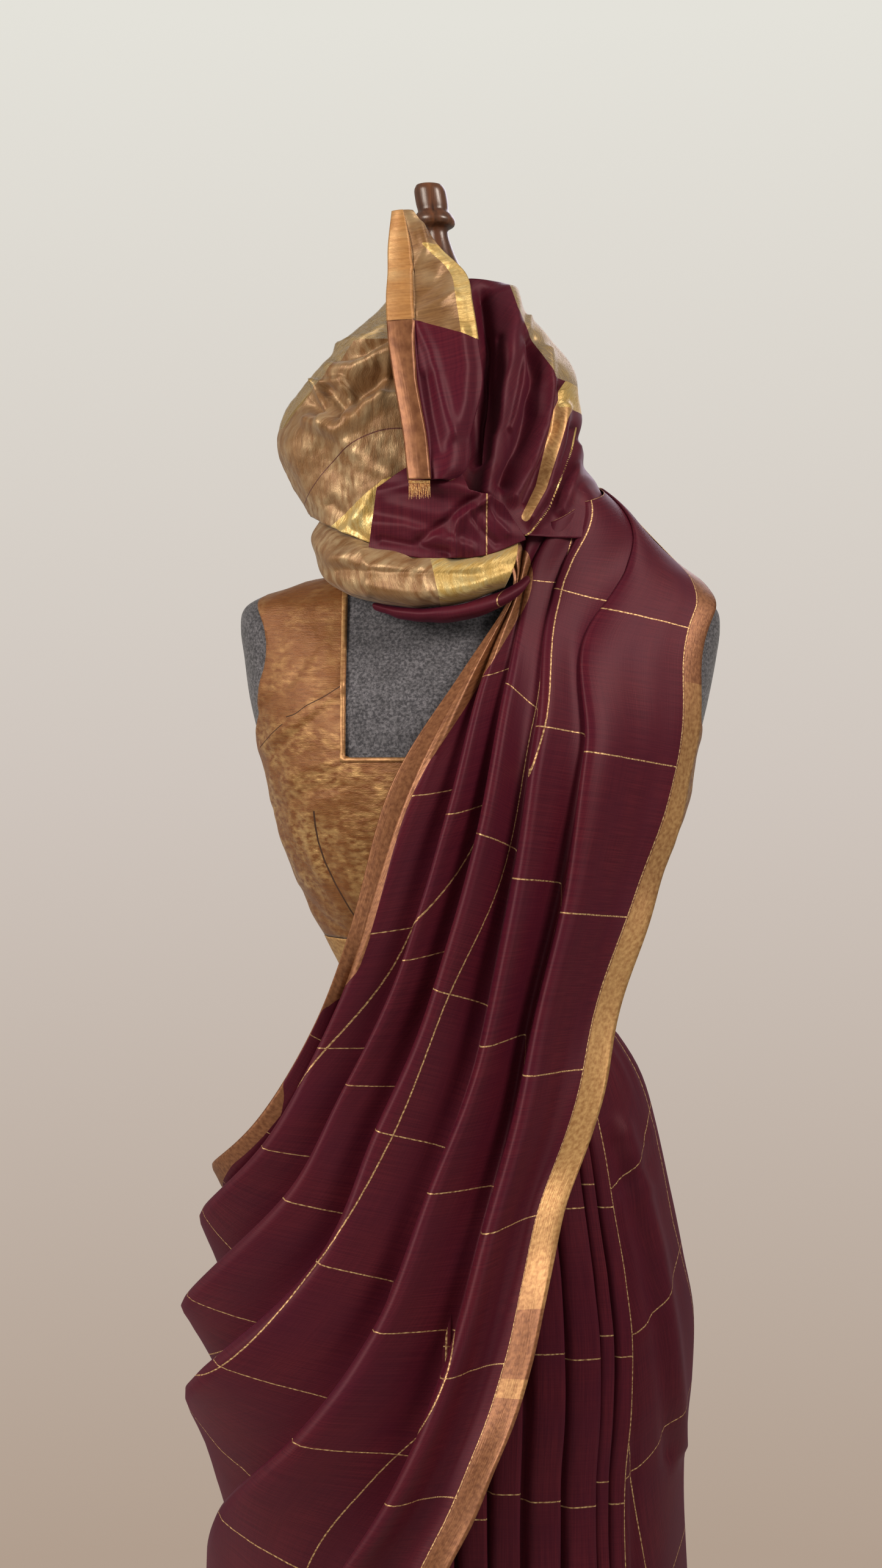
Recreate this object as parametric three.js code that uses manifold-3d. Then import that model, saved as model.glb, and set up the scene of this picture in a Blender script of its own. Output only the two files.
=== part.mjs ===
// A maroon and gold saree on a limbless dress form: the cloth stands round the form as thin pleated walls,
// one for each stretch that is wound, pleated, draped or looped, over a sleeveless blouse of gold tissue.
// Millimetres, +Z up, the front towards -Y, origin at the centre of the stand's underside.
import * as THREE from "three";
import { mergeVertices } from "three/addons/utils/BufferGeometryUtils.js";
import Module from "manifold-3d";

const wasm = await Module();
wasm.setup();

const SEAM = 0.3; // gap between pieces that touch
const SAREE_WALL = 1.4; // silk, with the air in its weave
const BLOUSE_WALL = 1.6;
const BLOUSE_EASE = 0.7; // between the form and the blouse
const HEM_ABOVE_FLOOR = 14;

const rad = THREE.MathUtils.degToRad;
const lerp = THREE.MathUtils.lerp;

// ---- tables and the surfaces they give ----

// The value of a column between the rows of a table, smooth, with the key column rising or falling.
function readTable(table, key, column, at) {
  const rising = table[0][key] < table[table.length - 1][key];
  const rows = rising ? table : [...table].reverse();
  const last = rows.length - 1;
  const place = THREE.MathUtils.clamp(at, rows[0][key], rows[last][key]);
  let i = 0;
  while (i < last - 1 && place > rows[i + 1][key]) i++;
  const slope = (k) => {
    const a = rows[Math.max(k - 1, 0)];
    const b = rows[Math.min(k + 1, last)];
    return (b[column] - a[column]) / (b[key] - a[key]);
  };
  const gap = rows[i + 1][key] - rows[i][key];
  const t = (place - rows[i][key]) / gap;
  const [h00, h10] = [2 * t ** 3 - 3 * t ** 2 + 1, t ** 3 - 2 * t ** 2 + t];
  const [h01, h11] = [-2 * t ** 3 + 3 * t ** 2, t ** 3 - t ** 2];
  return h00 * rows[i][column] + h10 * gap * slope(i) + h01 * rows[i + 1][column] + h11 * gap * slope(i + 1);
}

// A point round a figure: turn is 0 at the front, 90 at its right as seen, 180 at the back.
function onFigure(table, turn, height, lift = 0) {
  const read = (column) => readTable(table, "height", column, height);
  const [sin, cos] = [Math.sin(rad(turn)), Math.cos(rad(turn))];
  const depth = cos > 0 ? read("front") : read("back");
  return new THREE.Vector3(
    read("centre") + (read("half_width") + lift) * sin,
    -(depth + lift) * cos,
    height,
  );
}

// The same point, moved out at right angles to the surface instead of level.
function outFromFigure(table, turn, height, lift) {
  const step = 1;
  const here = onFigure(table, turn, height);
  const across = onFigure(table, turn + step, height).sub(onFigure(table, turn - step, height));
  const up = onFigure(table, turn, height + step).sub(onFigure(table, turn, height - step));
  return here.addScaledVector(across.cross(up).normalize(), lift);
}

// ---- making closed walls ----

function geometryFrom(points, faces) {
  const geometry = new THREE.BufferGeometry();
  geometry.setAttribute("position", new THREE.Float32BufferAttribute(points.flatMap((p) => [p.x, p.y, p.z]), 3));
  geometry.setIndex(faces);
  let volume = 0;
  for (let i = 0; i < faces.length; i += 3) {
    const [a, b, c] = [points[faces[i]], points[faces[i + 1]], points[faces[i + 2]]];
    volume += a.dot(new THREE.Vector3().crossVectors(b, c));
  }
  if (volume < 0) {
    for (let i = 0; i < faces.length; i += 3) [faces[i + 1], faces[i + 2]] = [faces[i + 2], faces[i + 1]];
    geometry.setIndex(faces);
  }
  geometry.computeVertexNormals();
  return geometry;
}

// A cloth wall: rows of points give its outer face, and its inner face lies one thickness behind them.
function wallThrough(rows, { thickness, ring = false, inward = 1 }) {
  const [n, m] = [rows.length, rows[0].length];
  const at = (i, j) => rows[THREE.MathUtils.clamp(i, 0, n - 1)][ring ? (j + m) % m : THREE.MathUtils.clamp(j, 0, m - 1)];
  const inner = rows.map((row, i) =>
    row.map((point, j) => {
      const along = at(i + 1, j).clone().sub(at(i - 1, j));
      const across = at(i, j + 1).clone().sub(at(i, j - 1));
      return point.clone().addScaledVector(across.cross(along).normalize(), -thickness * inward);
    }),
  );
  const points = [...rows.flat(), ...inner.flat()];
  const outerAt = (i, j) => i * m + (j % m);
  const innerAt = (i, j) => n * m + outerAt(i, j);
  const faces = [];
  const quad = (a, b, c, d) => faces.push(a, b, c, a, c, d);
  const columns = ring ? m : m - 1;
  for (let i = 0; i < n - 1; i++) {
    for (let j = 0; j < columns; j++) {
      quad(outerAt(i, j), outerAt(i, j + 1), outerAt(i + 1, j + 1), outerAt(i + 1, j));
      faces.push(innerAt(i, j), innerAt(i + 1, j + 1), innerAt(i, j + 1));
      faces.push(innerAt(i, j), innerAt(i + 1, j), innerAt(i + 1, j + 1));
    }
  }
  for (let j = 0; j < columns; j++) {
    quad(outerAt(0, j + 1), outerAt(0, j), innerAt(0, j), innerAt(0, j + 1));
    quad(outerAt(n - 1, j), outerAt(n - 1, j + 1), innerAt(n - 1, j + 1), innerAt(n - 1, j));
  }
  if (!ring) {
    for (let i = 0; i < n - 1; i++) {
      quad(outerAt(i, 0), outerAt(i + 1, 0), innerAt(i + 1, 0), innerAt(i, 0));
      quad(outerAt(i + 1, m - 1), outerAt(i, m - 1), innerAt(i, m - 1), innerAt(i + 1, m - 1));
    }
  }
  return geometryFrom(points, faces);
}

// Rings stacked from the bottom up and closed at both ends.
function bodyThrough(rings) {
  const m = rings[0].length;
  const points = rings.flat();
  const faces = [];
  for (let i = 0; i < rings.length - 1; i++) {
    for (let j = 0; j < m; j++) {
      const k = (j + 1) % m;
      faces.push(i * m + j, i * m + k, (i + 1) * m + k, i * m + j, (i + 1) * m + k, (i + 1) * m + j);
    }
  }
  for (const [ring, flip] of [[0, true], [rings.length - 1, false]]) {
    const centre = points.push(rings[ring].reduce((sum, p) => sum.add(p), new THREE.Vector3()).divideScalar(m)) - 1;
    for (let j = 0; j < m; j++) {
      const edge = [ring * m + j, ring * m + ((j + 1) % m)];
      faces.push(...(flip ? edge.reverse() : edge), centre);
    }
  }
  return geometryFrom(points, faces);
}

// ---- cutting, by manifold-3d ----

function toManifold(geometry) {
  const plain = new THREE.BufferGeometry();
  plain.setAttribute("position", geometry.getAttribute("position"));
  if (geometry.index) plain.setIndex(geometry.index);
  const merged = mergeVertices(plain, 1e-4);
  return new wasm.Manifold(
    new wasm.Mesh({
      numProp: 3,
      vertProperties: merged.getAttribute("position").array,
      triVerts: new Uint32Array(merged.index.array),
    }),
  );
}

function fromManifold(solid) {
  const mesh = solid.getMesh();
  const geometry = new THREE.BufferGeometry();
  geometry.setAttribute("position", new THREE.Float32BufferAttribute(mesh.vertProperties, 3));
  geometry.setIndex(new THREE.BufferAttribute(mesh.triVerts, 1));
  geometry.computeVertexNormals();
  return geometry;
}

function block(x0, x1, y0, y1, z0, z1) {
  const box = new THREE.BoxGeometry(x1 - x0, y1 - y0, z1 - z0);
  box.translate((x0 + x1) / 2, (y0 + y1) / 2, (z0 + z1) / 2);
  return toManifold(box);
}

const saree = new THREE.Group();
const finishes = {
  felt: { color: "#5a5a60", roughness: 0.95, metalness: 0 },
  walnut: { color: "#4a2a1c", roughness: 0.35, metalness: 0 },
  iron: { color: "#2c2b2b", roughness: 0.5, metalness: 0.6 },
  ochre: { color: "#b07a35", roughness: 0.55, metalness: 0.1 },
  maroon: { color: "#4a1520", roughness: 0.5, metalness: 0 },
  tissue: { color: "#a9793f", roughness: 0.4, metalness: 0.3 },
  border: { color: "#b27a45", roughness: 0.45, metalness: 0.2 },
};

function add(name, geometry, finish) {
  const mesh = new THREE.Mesh(geometry, new THREE.MeshStandardMaterial(finishes[finish]));
  mesh.name = name;
  saree.add(mesh);
  return mesh;
}

// ---- the dress form: a smooth padded bust on a pole and a round iron foot ----

const FORM = [
  { height: 770, centre: 0, half_width: 160, front: 106, back: 108 },
  { height: 810, centre: 0, half_width: 166, front: 110, back: 114 },
  { height: 870, centre: 0, half_width: 158, front: 106, back: 108 },
  { height: 930, centre: 1, half_width: 142, front: 99, back: 97 },
  { height: 990, centre: 3, half_width: 120, front: 88, back: 83 },
  { height: 1045, centre: 4, half_width: 106, front: 82, back: 74 },
  { height: 1080, centre: 5, half_width: 108, front: 84, back: 75 },
  { height: 1118, centre: 7, half_width: 128, front: 95, back: 81 },
  { height: 1174, centre: 9, half_width: 157, front: 115, back: 88 },
  { height: 1222, centre: 10, half_width: 172, front: 127, back: 92 },
  { height: 1263, centre: 10, half_width: 181, front: 126, back: 93 },
  { height: 1309, centre: 10, half_width: 192, front: 112, back: 92 },
  { height: 1345, centre: 11, half_width: 198, front: 92, back: 87 },
  { height: 1370, centre: 11, half_width: 201, front: 77, back: 78 },
  { height: 1386, centre: 11, half_width: 197, front: 68, back: 70 },
  { height: 1396, centre: 11, half_width: 180, front: 61, back: 64 },
  { height: 1404, centre: 10, half_width: 152, front: 57, back: 60 },
  { height: 1412, centre: 9, half_width: 120, front: 55, back: 58 },
  { height: 1424, centre: 7, half_width: 88, front: 54, back: 57 },
  { height: 1440, centre: 4, half_width: 68, front: 53, back: 57 },
  { height: 1470, centre: 1, half_width: 57, front: 52, back: 56 },
  { height: 1540, centre: 0, half_width: 54, front: 51, back: 54 },
];
const FORM_SIDES = 36;
const formTurns = Array.from({ length: FORM_SIDES }, (_, j) => (360 * j) / FORM_SIDES);
add("form_torso", bodyThrough(FORM.map((row) => formTurns.map((turn) => onFigure(FORM, turn, row.height)))), "felt");

const FORM_TOP = 1540;
const FORM_BOTTOM = 770;
const CAP_LEAN = -0.16; // sideways for each millimetre up
const CAP = [
  { radius: 0, height: 0 },
  { radius: 48, height: 0 },
  { radius: 49, height: 5 },
  { radius: 45, height: 12 },
  { radius: 38, height: 32 },
  { radius: 31, height: 60 },
  { radius: 25, height: 90 },
  { radius: 20, height: 118 },
  { radius: 12, height: 142 },
  { radius: 9, height: 158 },
  { radius: 10, height: 163 },
  { radius: 16, height: 166 },
  { radius: 17.5, height: 170 },
  { radius: 15.5, height: 175 },
  { radius: 12.5, height: 178 },
  { radius: 13.5, height: 184 },
  { radius: 13.5, height: 196 },
  { radius: 11, height: 200 },
  { radius: 0, height: 201 },
];
const cap = new THREE.LatheGeometry(CAP.map((row) => new THREE.Vector2(row.radius, row.height)), 14);
cap.rotateX(Math.PI / 2);
cap.applyMatrix4(new THREE.Matrix4().makeShear(0, 0, 0, 0, CAP_LEAN, 0));
cap.translate(0, 0, FORM_TOP + SEAM);
add("form_neck_cap", fromManifold(toManifold(cap)), "walnut");

const BASE = { radius: 150, edge: 8, middle: 16 };
const POLE_RADIUS = 16;
const base = new THREE.LatheGeometry(
  [[0, 0], [BASE.radius, 0], [BASE.radius, BASE.edge], [BASE.radius * 0.5, BASE.middle - 2], [26, BASE.middle], [0, BASE.middle]]
    .map(([r, h]) => new THREE.Vector2(r, h)),
  28,
);
base.rotateX(Math.PI / 2);
add("stand_base", fromManifold(toManifold(base)), "iron");

const poleLength = FORM_BOTTOM - BASE.middle - 2 * SEAM;
const pole = new THREE.CylinderGeometry(POLE_RADIUS, POLE_RADIUS, poleLength, 16);
pole.rotateX(Math.PI / 2);
pole.translate(0, 0, BASE.middle + SEAM + poleLength / 2);
add("stand_pole", fromManifold(toManifold(pole)), "iron");

// ---- the blouse: sleeveless, square-necked, front and back joined at the side and shoulder seams ----

const BLOUSE = { hem: 1112, shoulder_top: 1412, neck_half_width: 98, neck_bottom: 1259, back_neck_bottom: 1335 };
const ARMHOLE = { height: 1336, half_depth: 44, half_height: 62, from_centre: 120 };
const UNDER_BAND = { top: 1110, bottom: 1080 };
const PIPING = { width: 4, height: 1.6 };

// A closed shell that follows the form between two heights and two distances out from it.
function shellOnForm(bottom, top, near, far) {
  const heights = [bottom, ...FORM.map((row) => row.height).filter((h) => h > bottom + 4 && h < top - 4), top];
  const face = (lift) => heights.map((h) => formTurns.map((turn) => outFromFigure(FORM, turn, h, lift)));
  const [outer, inner] = [face(far), face(near)];
  const m = FORM_SIDES;
  const n = heights.length;
  const points = [...outer.flat(), ...inner.flat()];
  const faces = [];
  const quad = (a, b, c, d) => faces.push(a, b, c, a, c, d);
  for (let j = 0; j < m; j++) {
    const k = (j + 1) % m;
    for (let i = 0; i < n - 1; i++) {
      quad(i * m + j, i * m + k, (i + 1) * m + k, (i + 1) * m + j);
      const q = n * m;
      faces.push(q + i * m + j, q + (i + 1) * m + k, q + i * m + k, q + i * m + j, q + (i + 1) * m + j, q + (i + 1) * m + k);
    }
    quad(j, n * m + j, n * m + k, k);
    const top = (n - 1) * m;
    quad(top + j, top + k, n * m + top + k, n * m + top + j);
  }
  return toManifold(geometryFrom(points, faces));
}

function neckOpening(widen) {
  const half = BLOUSE.neck_half_width + widen;
  const front = block(-half, half, -300, 0, BLOUSE.neck_bottom - widen, 1500);
  const back = block(-half, half, -1, 300, BLOUSE.back_neck_bottom - widen, 1500);
  return front.add(back);
}

function armholes() {
  const sides = [-1, 1].map((side) => {
    const hole = new THREE.CylinderGeometry(1, 1, 200, 24);
    hole.rotateZ(Math.PI / 2);
    hole.scale(1, ARMHOLE.half_depth, ARMHOLE.half_height);
    hole.translate(side * (ARMHOLE.from_centre + 100) + 10, 0, ARMHOLE.height);
    const outer = new THREE.BoxGeometry(60, 2 * ARMHOLE.half_depth, 120);
    outer.translate(side * 216 + 10, 0, ARMHOLE.height + 30);
    return toManifold(hole).add(toManifold(outer));
  });
  return sides[0].add(sides[1]);
}

const blouseShell = shellOnForm(BLOUSE.hem, BLOUSE.shoulder_top, BLOUSE_EASE, BLOUSE_EASE + BLOUSE_WALL)
  .subtract(neckOpening(0))
  .subtract(armholes());
add("blouse_front", fromManifold(blouseShell.intersect(block(-300, 300, -300, -SEAM / 2, 1000, 1500))), "ochre");
add("blouse_back", fromManifold(blouseShell.intersect(block(-300, 300, SEAM / 2, 300, 1000, 1500))), "ochre");

const pipingNear = BLOUSE_EASE + BLOUSE_WALL + SEAM;
const pipingShell = shellOnForm(1240, BLOUSE.shoulder_top, pipingNear, pipingNear + PIPING.height)
  .intersect(neckOpening(PIPING.width))
  .subtract(neckOpening(-0.5))
  .intersect(block(-300, 300, -300, -SEAM, 1200, 1500));
add("blouse_neck_piping", fromManifold(pipingShell), "ochre");
add("blouse_under_band", fromManifold(shellOnForm(UNDER_BAND.bottom, UNDER_BAND.top, BLOUSE_EASE, BLOUSE_EASE + BLOUSE_WALL)), "border");

// ---- the skirt: one turn of the saree round the hips, hanging in soft folds to the floor ----

const SKIRT = [
  { height: 1045, centre: 4, half_width: 107, front: 83, back: 75 },
  { height: 1028, centre: 4, half_width: 123, front: 93, back: 86 },
  { height: 997, centre: 4, half_width: 142, front: 104, back: 97 },
  { height: 954, centre: 3, half_width: 156, front: 116, back: 108 },
  { height: 900, centre: 2, half_width: 168, front: 126, back: 118 },
  { height: 848, centre: 1, half_width: 180, front: 133, back: 124 },
  { height: 800, centre: 0, half_width: 190, front: 137, back: 129 },
  { height: 745, centre: 0, half_width: 189, front: 138, back: 131 },
  { height: 692, centre: 0, half_width: 182, front: 137, back: 131 },
  { height: 600, centre: 0, half_width: 184, front: 139, back: 133 },
  { height: 300, centre: 0, half_width: 203, front: 149, back: 145 },
  { height: HEM_ABOVE_FLOOR, centre: 0, half_width: 226, front: 160, back: 158 },
];
const SKIRT_FOLDS = { count: 12, hem_height: 9, points_each: 4 };
const skirtColumns = SKIRT_FOLDS.count * SKIRT_FOLDS.points_each;
const skirtRows = SKIRT.map(({ height }) => {
  const fall = 1 - (height - HEM_ABOVE_FLOOR) / (SKIRT[0].height - HEM_ABOVE_FLOOR);
  return Array.from({ length: skirtColumns }, (_, j) => {
    const wave = Math.cos((2 * Math.PI * j) / SKIRT_FOLDS.points_each) - 1;
    const turn = (360 * j) / skirtColumns;
    const uneven = 0.65 + 0.35 * Math.sin(rad(turn * 3 + 40));
    return onFigure(SKIRT, turn, height, SKIRT_FOLDS.hem_height * fall * uneven * wave * 0.5);
  });
});
add("saree_skirt", wallThrough(skirtRows, { thickness: SAREE_WALL, ring: true }), "maroon");

// ---- the front pleats: knife pleats tucked in at the waist, each showing its right-hand edge ----

const PLEAT_EDGES = [-17, -11, -4, 4, 12, 21, 30, 34, 39]; // turn of each folded edge, left to right
const PLEATS = { top: 1036, height: 10, seat: 1.7, left_end: -23 };
const PLEAT_HEIGHTS = [1036, 1002, 954, 886, 770, 600, 400, 190, HEM_ABOVE_FLOOR];
const pleatColumns = PLEAT_EDGES.flatMap((edge, i) => {
  const start = i === 0 ? PLEATS.left_end : PLEAT_EDGES[i - 1];
  return [
    { turn: lerp(start, edge, 0.16), rise: 0.06 },
    { turn: lerp(start, edge, 0.55), rise: 0.5 },
    { turn: lerp(start, edge, 0.88), rise: 0.95 },
    { turn: edge, rise: 0.9 },
  ];
});
const pleatRows = PLEAT_HEIGHTS.map((height) => {
  const open = THREE.MathUtils.clamp((PLEATS.top - height) / 180, 0.25, 1);
  return pleatColumns.map(({ turn, rise }) =>
    onFigure(SKIRT, turn, height, PLEATS.seat + SAREE_WALL + rise * PLEATS.height * open),
  );
});
add("saree_front_pleats", wallThrough(pleatRows, { thickness: SAREE_WALL }), "maroon");

// ---- the front drape: pleated on the shoulder, fanned across the body and round the left hip to the back ----

const DRAPED = [
  { height: 15, centre: 0, half_width: 230, front: 172, back: 160.5 },
  { height: 300, centre: 0, half_width: 208, front: 162, back: 148 },
  { height: 600, centre: 0, half_width: 192, front: 153, back: 137 },
  { height: 770, centre: 0, half_width: 198, front: 151, back: 136 },
  { height: 850, centre: 2, half_width: 186, front: 147, back: 130 },
  { height: 950, centre: 4, half_width: 168, front: 139, back: 115 },
  { height: 1050, centre: 6, half_width: 153, front: 135, back: 100 },
  { height: 1150, centre: 9, half_width: 171, front: 138, back: 99 },
  { height: 1250, centre: 10, half_width: 191, front: 136, back: 102 },
  { height: 1330, centre: 11, half_width: 204, front: 109, back: 98 },
  { height: 1380, centre: 11, half_width: 206, front: 82, back: 86 },
  { height: 1405, centre: 11, half_width: 184, front: 73, back: 76 },
  { height: 1422, centre: 11, half_width: 163, front: 71, back: 74 },
  { height: 1444, centre: 11, half_width: 141, front: 71, back: 72 },
  { height: 1472, centre: 11, half_width: 114, front: 73, back: 70 },
  { height: 1491, centre: 11, half_width: 92, front: 75, back: 68 },
];
// A row for each line across the cloth, from the shoulder down: [turn, height] of the upper selvedge,
// the five folded edges and the lower selvedge, with how far the folds stand out and how deep they are.
const DRAPE = [
  { upper: [5, 1424], first: [8, 1430], second: [14, 1438], third: [24, 1450], fourth: [44, 1468], fifth: [87, 1486], lower: [89.6, 1419], lift: 4.2, depth: 4 },
  { upper: [7, 1396], first: [8, 1399], second: [9, 1402], third: [11, 1402], fourth: [17, 1395], fifth: [27, 1379], lower: [59, 1361], lift: 7, depth: 5 },
  { upper: [-5, 1323], first: [-3, 1324], second: [0, 1322], third: [5, 1317], fourth: [12, 1283], fifth: [24, 1263], lower: [59, 1249], lift: 9, depth: 7 },
  { upper: [-21, 1234], first: [-17, 1228], second: [-8, 1214], third: [-1, 1200], fourth: [8, 1165], fifth: [21, 1138], lower: [49, 1131], lift: 12, depth: 9 },
  { upper: [-34, 1126], first: [-31, 1120], second: [-20, 1101], third: [-12, 1080], fourth: [1, 1035], fifth: [13, 1012], lower: [38, 1015], lift: 15, depth: 11 },
  { upper: [-49, 1040], first: [-46, 1030], second: [-35, 1004], third: [-25, 971], fourth: [-11, 924], fifth: [2, 893], lower: [21, 909], lift: 21, depth: 14 },
  { upper: [-64, 965], first: [-58, 950], second: [-47, 914], third: [-35, 870], fourth: [-20, 821], fifth: [-6, 787], lower: [12, 798], lift: 31, depth: 17 },
  { upper: [-82, 925], first: [-80, 894], second: [-79, 822], third: [-58, 784], fourth: [-35, 735], fifth: [-16, 694], lower: [2, 698], lift: 43, depth: 19 },
  { upper: [-104, 915], first: [-104, 880], second: [-104, 800], third: [-86, 735], fourth: [-62, 660], fifth: [-36, 585], lower: [-14, 570], lift: 34, depth: 16 },
  { upper: [-130, 945], first: [-130, 900], second: [-130, 810], third: [-118, 700], fourth: [-97, 560], fifth: [-70, 420], lower: [-44, 365], lift: 18, depth: 11 },
  { upper: [-156, 990], first: [-156, 930], second: [-156, 815], third: [-148, 680], fourth: [-134, 500], fifth: [-110, 285], lower: [-92, 135], lift: 9, depth: 6 },
  { upper: [-182, 1022], first: [-182, 940], second: [-182, 815], third: [-179, 660], fourth: [-172, 450], fifth: [-156, 175], lower: [-146, 24], lift: 5, depth: 3 },
  { upper: [-206, 1034], first: [-206, 945], second: [-206, 810], third: [-206, 640], fourth: [-205, 420], fifth: [-202, 170], lower: [-196, 17], lift: 1.3, depth: 0.4 },
];
const DRAPE_FOLDS = ["upper", "first", "second", "third", "fourth", "fifth", "lower"];
const DRAPE_STEPS = { front: 16, turning_back: 12, back_from: 8 }; // shorter steps where it turns round the back
// Across one panel: how far over it, and how much of the fold's depth the cloth has sunk by there.
const PANEL = [
  { over: 0, sunk: 0 },
  { over: 0.4, sunk: 0.3 },
  { over: 0.78, sunk: 0.85 },
  { over: 0.93, sunk: 0.9 },
];
const FLAT_PANEL = [0, 0.3, 0.65, 1].map((over) => ({ over, sunk: 0.5 * Math.sin(Math.PI * over) }));

const drapeLines = DRAPE.map((row, station) => {
  const flat = { station, lift: row.lift, depth: row.depth };
  for (const fold of DRAPE_FOLDS) [flat[fold + "_turn"], flat[fold + "_height"]] = row[fold];
  return flat;
});

function drapePoint(station, panel, over, sunk) {
  const read = (column) => readTable(drapeLines, "station", column, station);
  const [from, to] = [DRAPE_FOLDS[panel], DRAPE_FOLDS[panel + 1]];
  return onFigure(
    DRAPED,
    lerp(read(from + "_turn"), read(to + "_turn"), over),
    lerp(read(from + "_height"), read(to + "_height"), over),
    read("lift") - read("depth") * sunk,
  );
}

const drapeStations = [
  ...Array.from({ length: DRAPE_STEPS.front }, (_, i) => (DRAPE_STEPS.back_from * i) / DRAPE_STEPS.front),
  ...Array.from({ length: DRAPE_STEPS.turning_back + 1 }, (_, i) =>
    lerp(DRAPE_STEPS.back_from, DRAPE.length - 1, i / DRAPE_STEPS.turning_back),
  ),
];
const drapeRows = drapeStations.map((station) => {
  return DRAPE_FOLDS.slice(0, -1).flatMap((_, panel) =>
    (panel < DRAPE_FOLDS.length - 2 ? PANEL : FLAT_PANEL).map(({ over, sunk }) => drapePoint(station, panel, over, sunk)),
  );
});
add("saree_front_drape", wallThrough(drapeRows, { thickness: SAREE_WALL, inward: -1 }), "maroon");

// ---- the back cowl: over the shoulder, sagging across the back and up behind the neck ----

const COWL = [
  { height: 1300, centre: 11, half_width: 200, front: 100, back: 108 },
  { height: 1340, centre: 11, half_width: 209, front: 100, back: 107 },
  { height: 1385, centre: 11, half_width: 209, front: 90, back: 104 },
  { height: 1405, centre: 11, half_width: 189, front: 80, back: 101 },
  { height: 1422, centre: 11, half_width: 168, front: 75, back: 99 },
  { height: 1444, centre: 11, half_width: 146, front: 75, back: 97 },
  { height: 1472, centre: 11, half_width: 119, front: 75, back: 95 },
  { height: 1491, centre: 11, half_width: 97, front: 80, back: 94 },
  { height: 1520, centre: 2, half_width: 98, front: 80, back: 93 },
  { height: 1570, centre: 0, half_width: 92, front: 80, back: 90 },
];
const COWL_EDGES = [
  { turn: 90.1, top: 1486, bottom: 1419 },
  { turn: 112, top: 1500, bottom: 1372 },
  { turn: 140, top: 1520, bottom: 1328 },
  { turn: 170, top: 1542, bottom: 1312 },
  { turn: 196, top: 1554, bottom: 1345 },
  { turn: 212, top: 1560, bottom: 1416 },
];
const COWL_FOLDS = { count: 4, height: 7 };
const cowlRows = Array.from({ length: 13 }, (_, i) => {
  const turn = lerp(COWL_EDGES[0].turn, COWL_EDGES[COWL_EDGES.length - 1].turn, i / 12);
  const swell = Math.sin((Math.PI * i) / 12);
  const edge = (column) => readTable(COWL_EDGES, "turn", column, turn);
  return Array.from({ length: 17 }, (_, j) => {
    const fold = 0.5 - 0.5 * Math.cos((2 * Math.PI * COWL_FOLDS.count * j) / 16);
    return onFigure(COWL, turn, lerp(edge("top"), edge("bottom"), j / 16), fold * swell * COWL_FOLDS.height);
  });
});
add("saree_back_cowl", wallThrough(cowlRows, { thickness: SAREE_WALL }), "maroon");

// ---- the cloth wound round the neck ----

// A stretch that stands round the neck like a collar. Each row is a height, with how far out the cloth lies at
// some turns; its folds run round it and rise or fall by slant.
function collar(rows, turns, { from, to, columns, steps, folds, top = () => Infinity, bottom = () => -Infinity }) {
  const heights = rows.map((row) => row.height);
  const [high, low] = [Math.max(...heights), Math.min(...heights)];
  const out = (turn, height) => {
    const across = turns.map(({ name, turn: at }) => ({ at, out: readTable(rows, "height", name, height) }));
    return readTable(across, "at", "out", turn);
  };
  return Array.from({ length: columns + 1 }, (_, j) => {
    const turn = lerp(from, to, j / columns);
    const [upper, lower] = [Math.min(high, top(turn)), Math.max(low, bottom(turn))];
    return Array.from({ length: steps + 1 }, (_, i) => {
      const height = lerp(upper, lower, i / steps);
      const phase = (height - low) / (high - low) + folds.slant * ((turn - from) / (to - from));
      const fade = Math.sin((Math.PI * (i + 0.25)) / (steps + 0.5));
      const radius = out(turn, height) - folds.height * fade * (0.5 - 0.5 * Math.cos(2 * Math.PI * folds.count * phase));
      return new THREE.Vector3(radius * Math.sin(rad(turn)), -radius * Math.cos(rad(turn)), height);
    });
  });
}

// A stretch rolled into a soft gutter, open towards the neck.
const ROLL = [
  { turn: -112, reach: 122, back: 104, top: 1480, bottom: 1432.2 },
  { turn: -86, reach: 130, back: 106, top: 1464, bottom: 1422.3 },
  { turn: -60, reach: 135, back: 114, top: 1444, bottom: 1394.7 },
  { turn: -38, reach: 134, back: 108, top: 1427, bottom: 1382 },
  { turn: -14, reach: 128, back: 101, top: 1417, bottom: 1378 },
  { turn: 6, reach: 124, back: 100, top: 1420, bottom: 1386 },
  { turn: 22, reach: 119, back: 99, top: 1432, bottom: 1399 },
  { turn: 36, reach: 114, back: 98, top: 1443, bottom: 1414 },
];
function roll(rows, { columns, steps, folds, height, drop = 0 }) {
  const [from, to] = [rows[0].turn, rows[rows.length - 1].turn];
  return Array.from({ length: columns + 1 }, (_, j) => {
    const turn = lerp(from, to, j / columns);
    const read = (column) => readTable(rows, "turn", column, turn);
    const [middle, half] = [(read("top") + read("bottom")) / 2 - drop, (read("top") - read("bottom")) / 2];
    return Array.from({ length: steps + 1 }, (_, i) => {
      const around = Math.PI * lerp(0.04, 0.96, i / steps);
      const ripple = height * Math.sin(around) * (0.5 - 0.5 * Math.cos(2 * folds * around + rad(turn * 1.5)));
      const radius = read("back") + (read("reach") - read("back")) * Math.sin(around) ** 0.8 - ripple;
      return new THREE.Vector3(
        radius * Math.sin(rad(turn)),
        -radius * Math.cos(rad(turn)),
        middle + half * Math.cos(around),
      );
    });
  });
}
add("neck_front_roll", wallThrough(roll(ROLL, { columns: 20, steps: 12, folds: 3, height: 5 }), { thickness: SAREE_WALL }), "tissue");

const rollTop = (turn) => (turn > ROLL[0].turn - 2 ? readTable(ROLL, "turn", "top", turn) : -Infinity);
const rollBottom = (turn) => readTable(ROLL, "turn", "bottom", turn);

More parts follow.
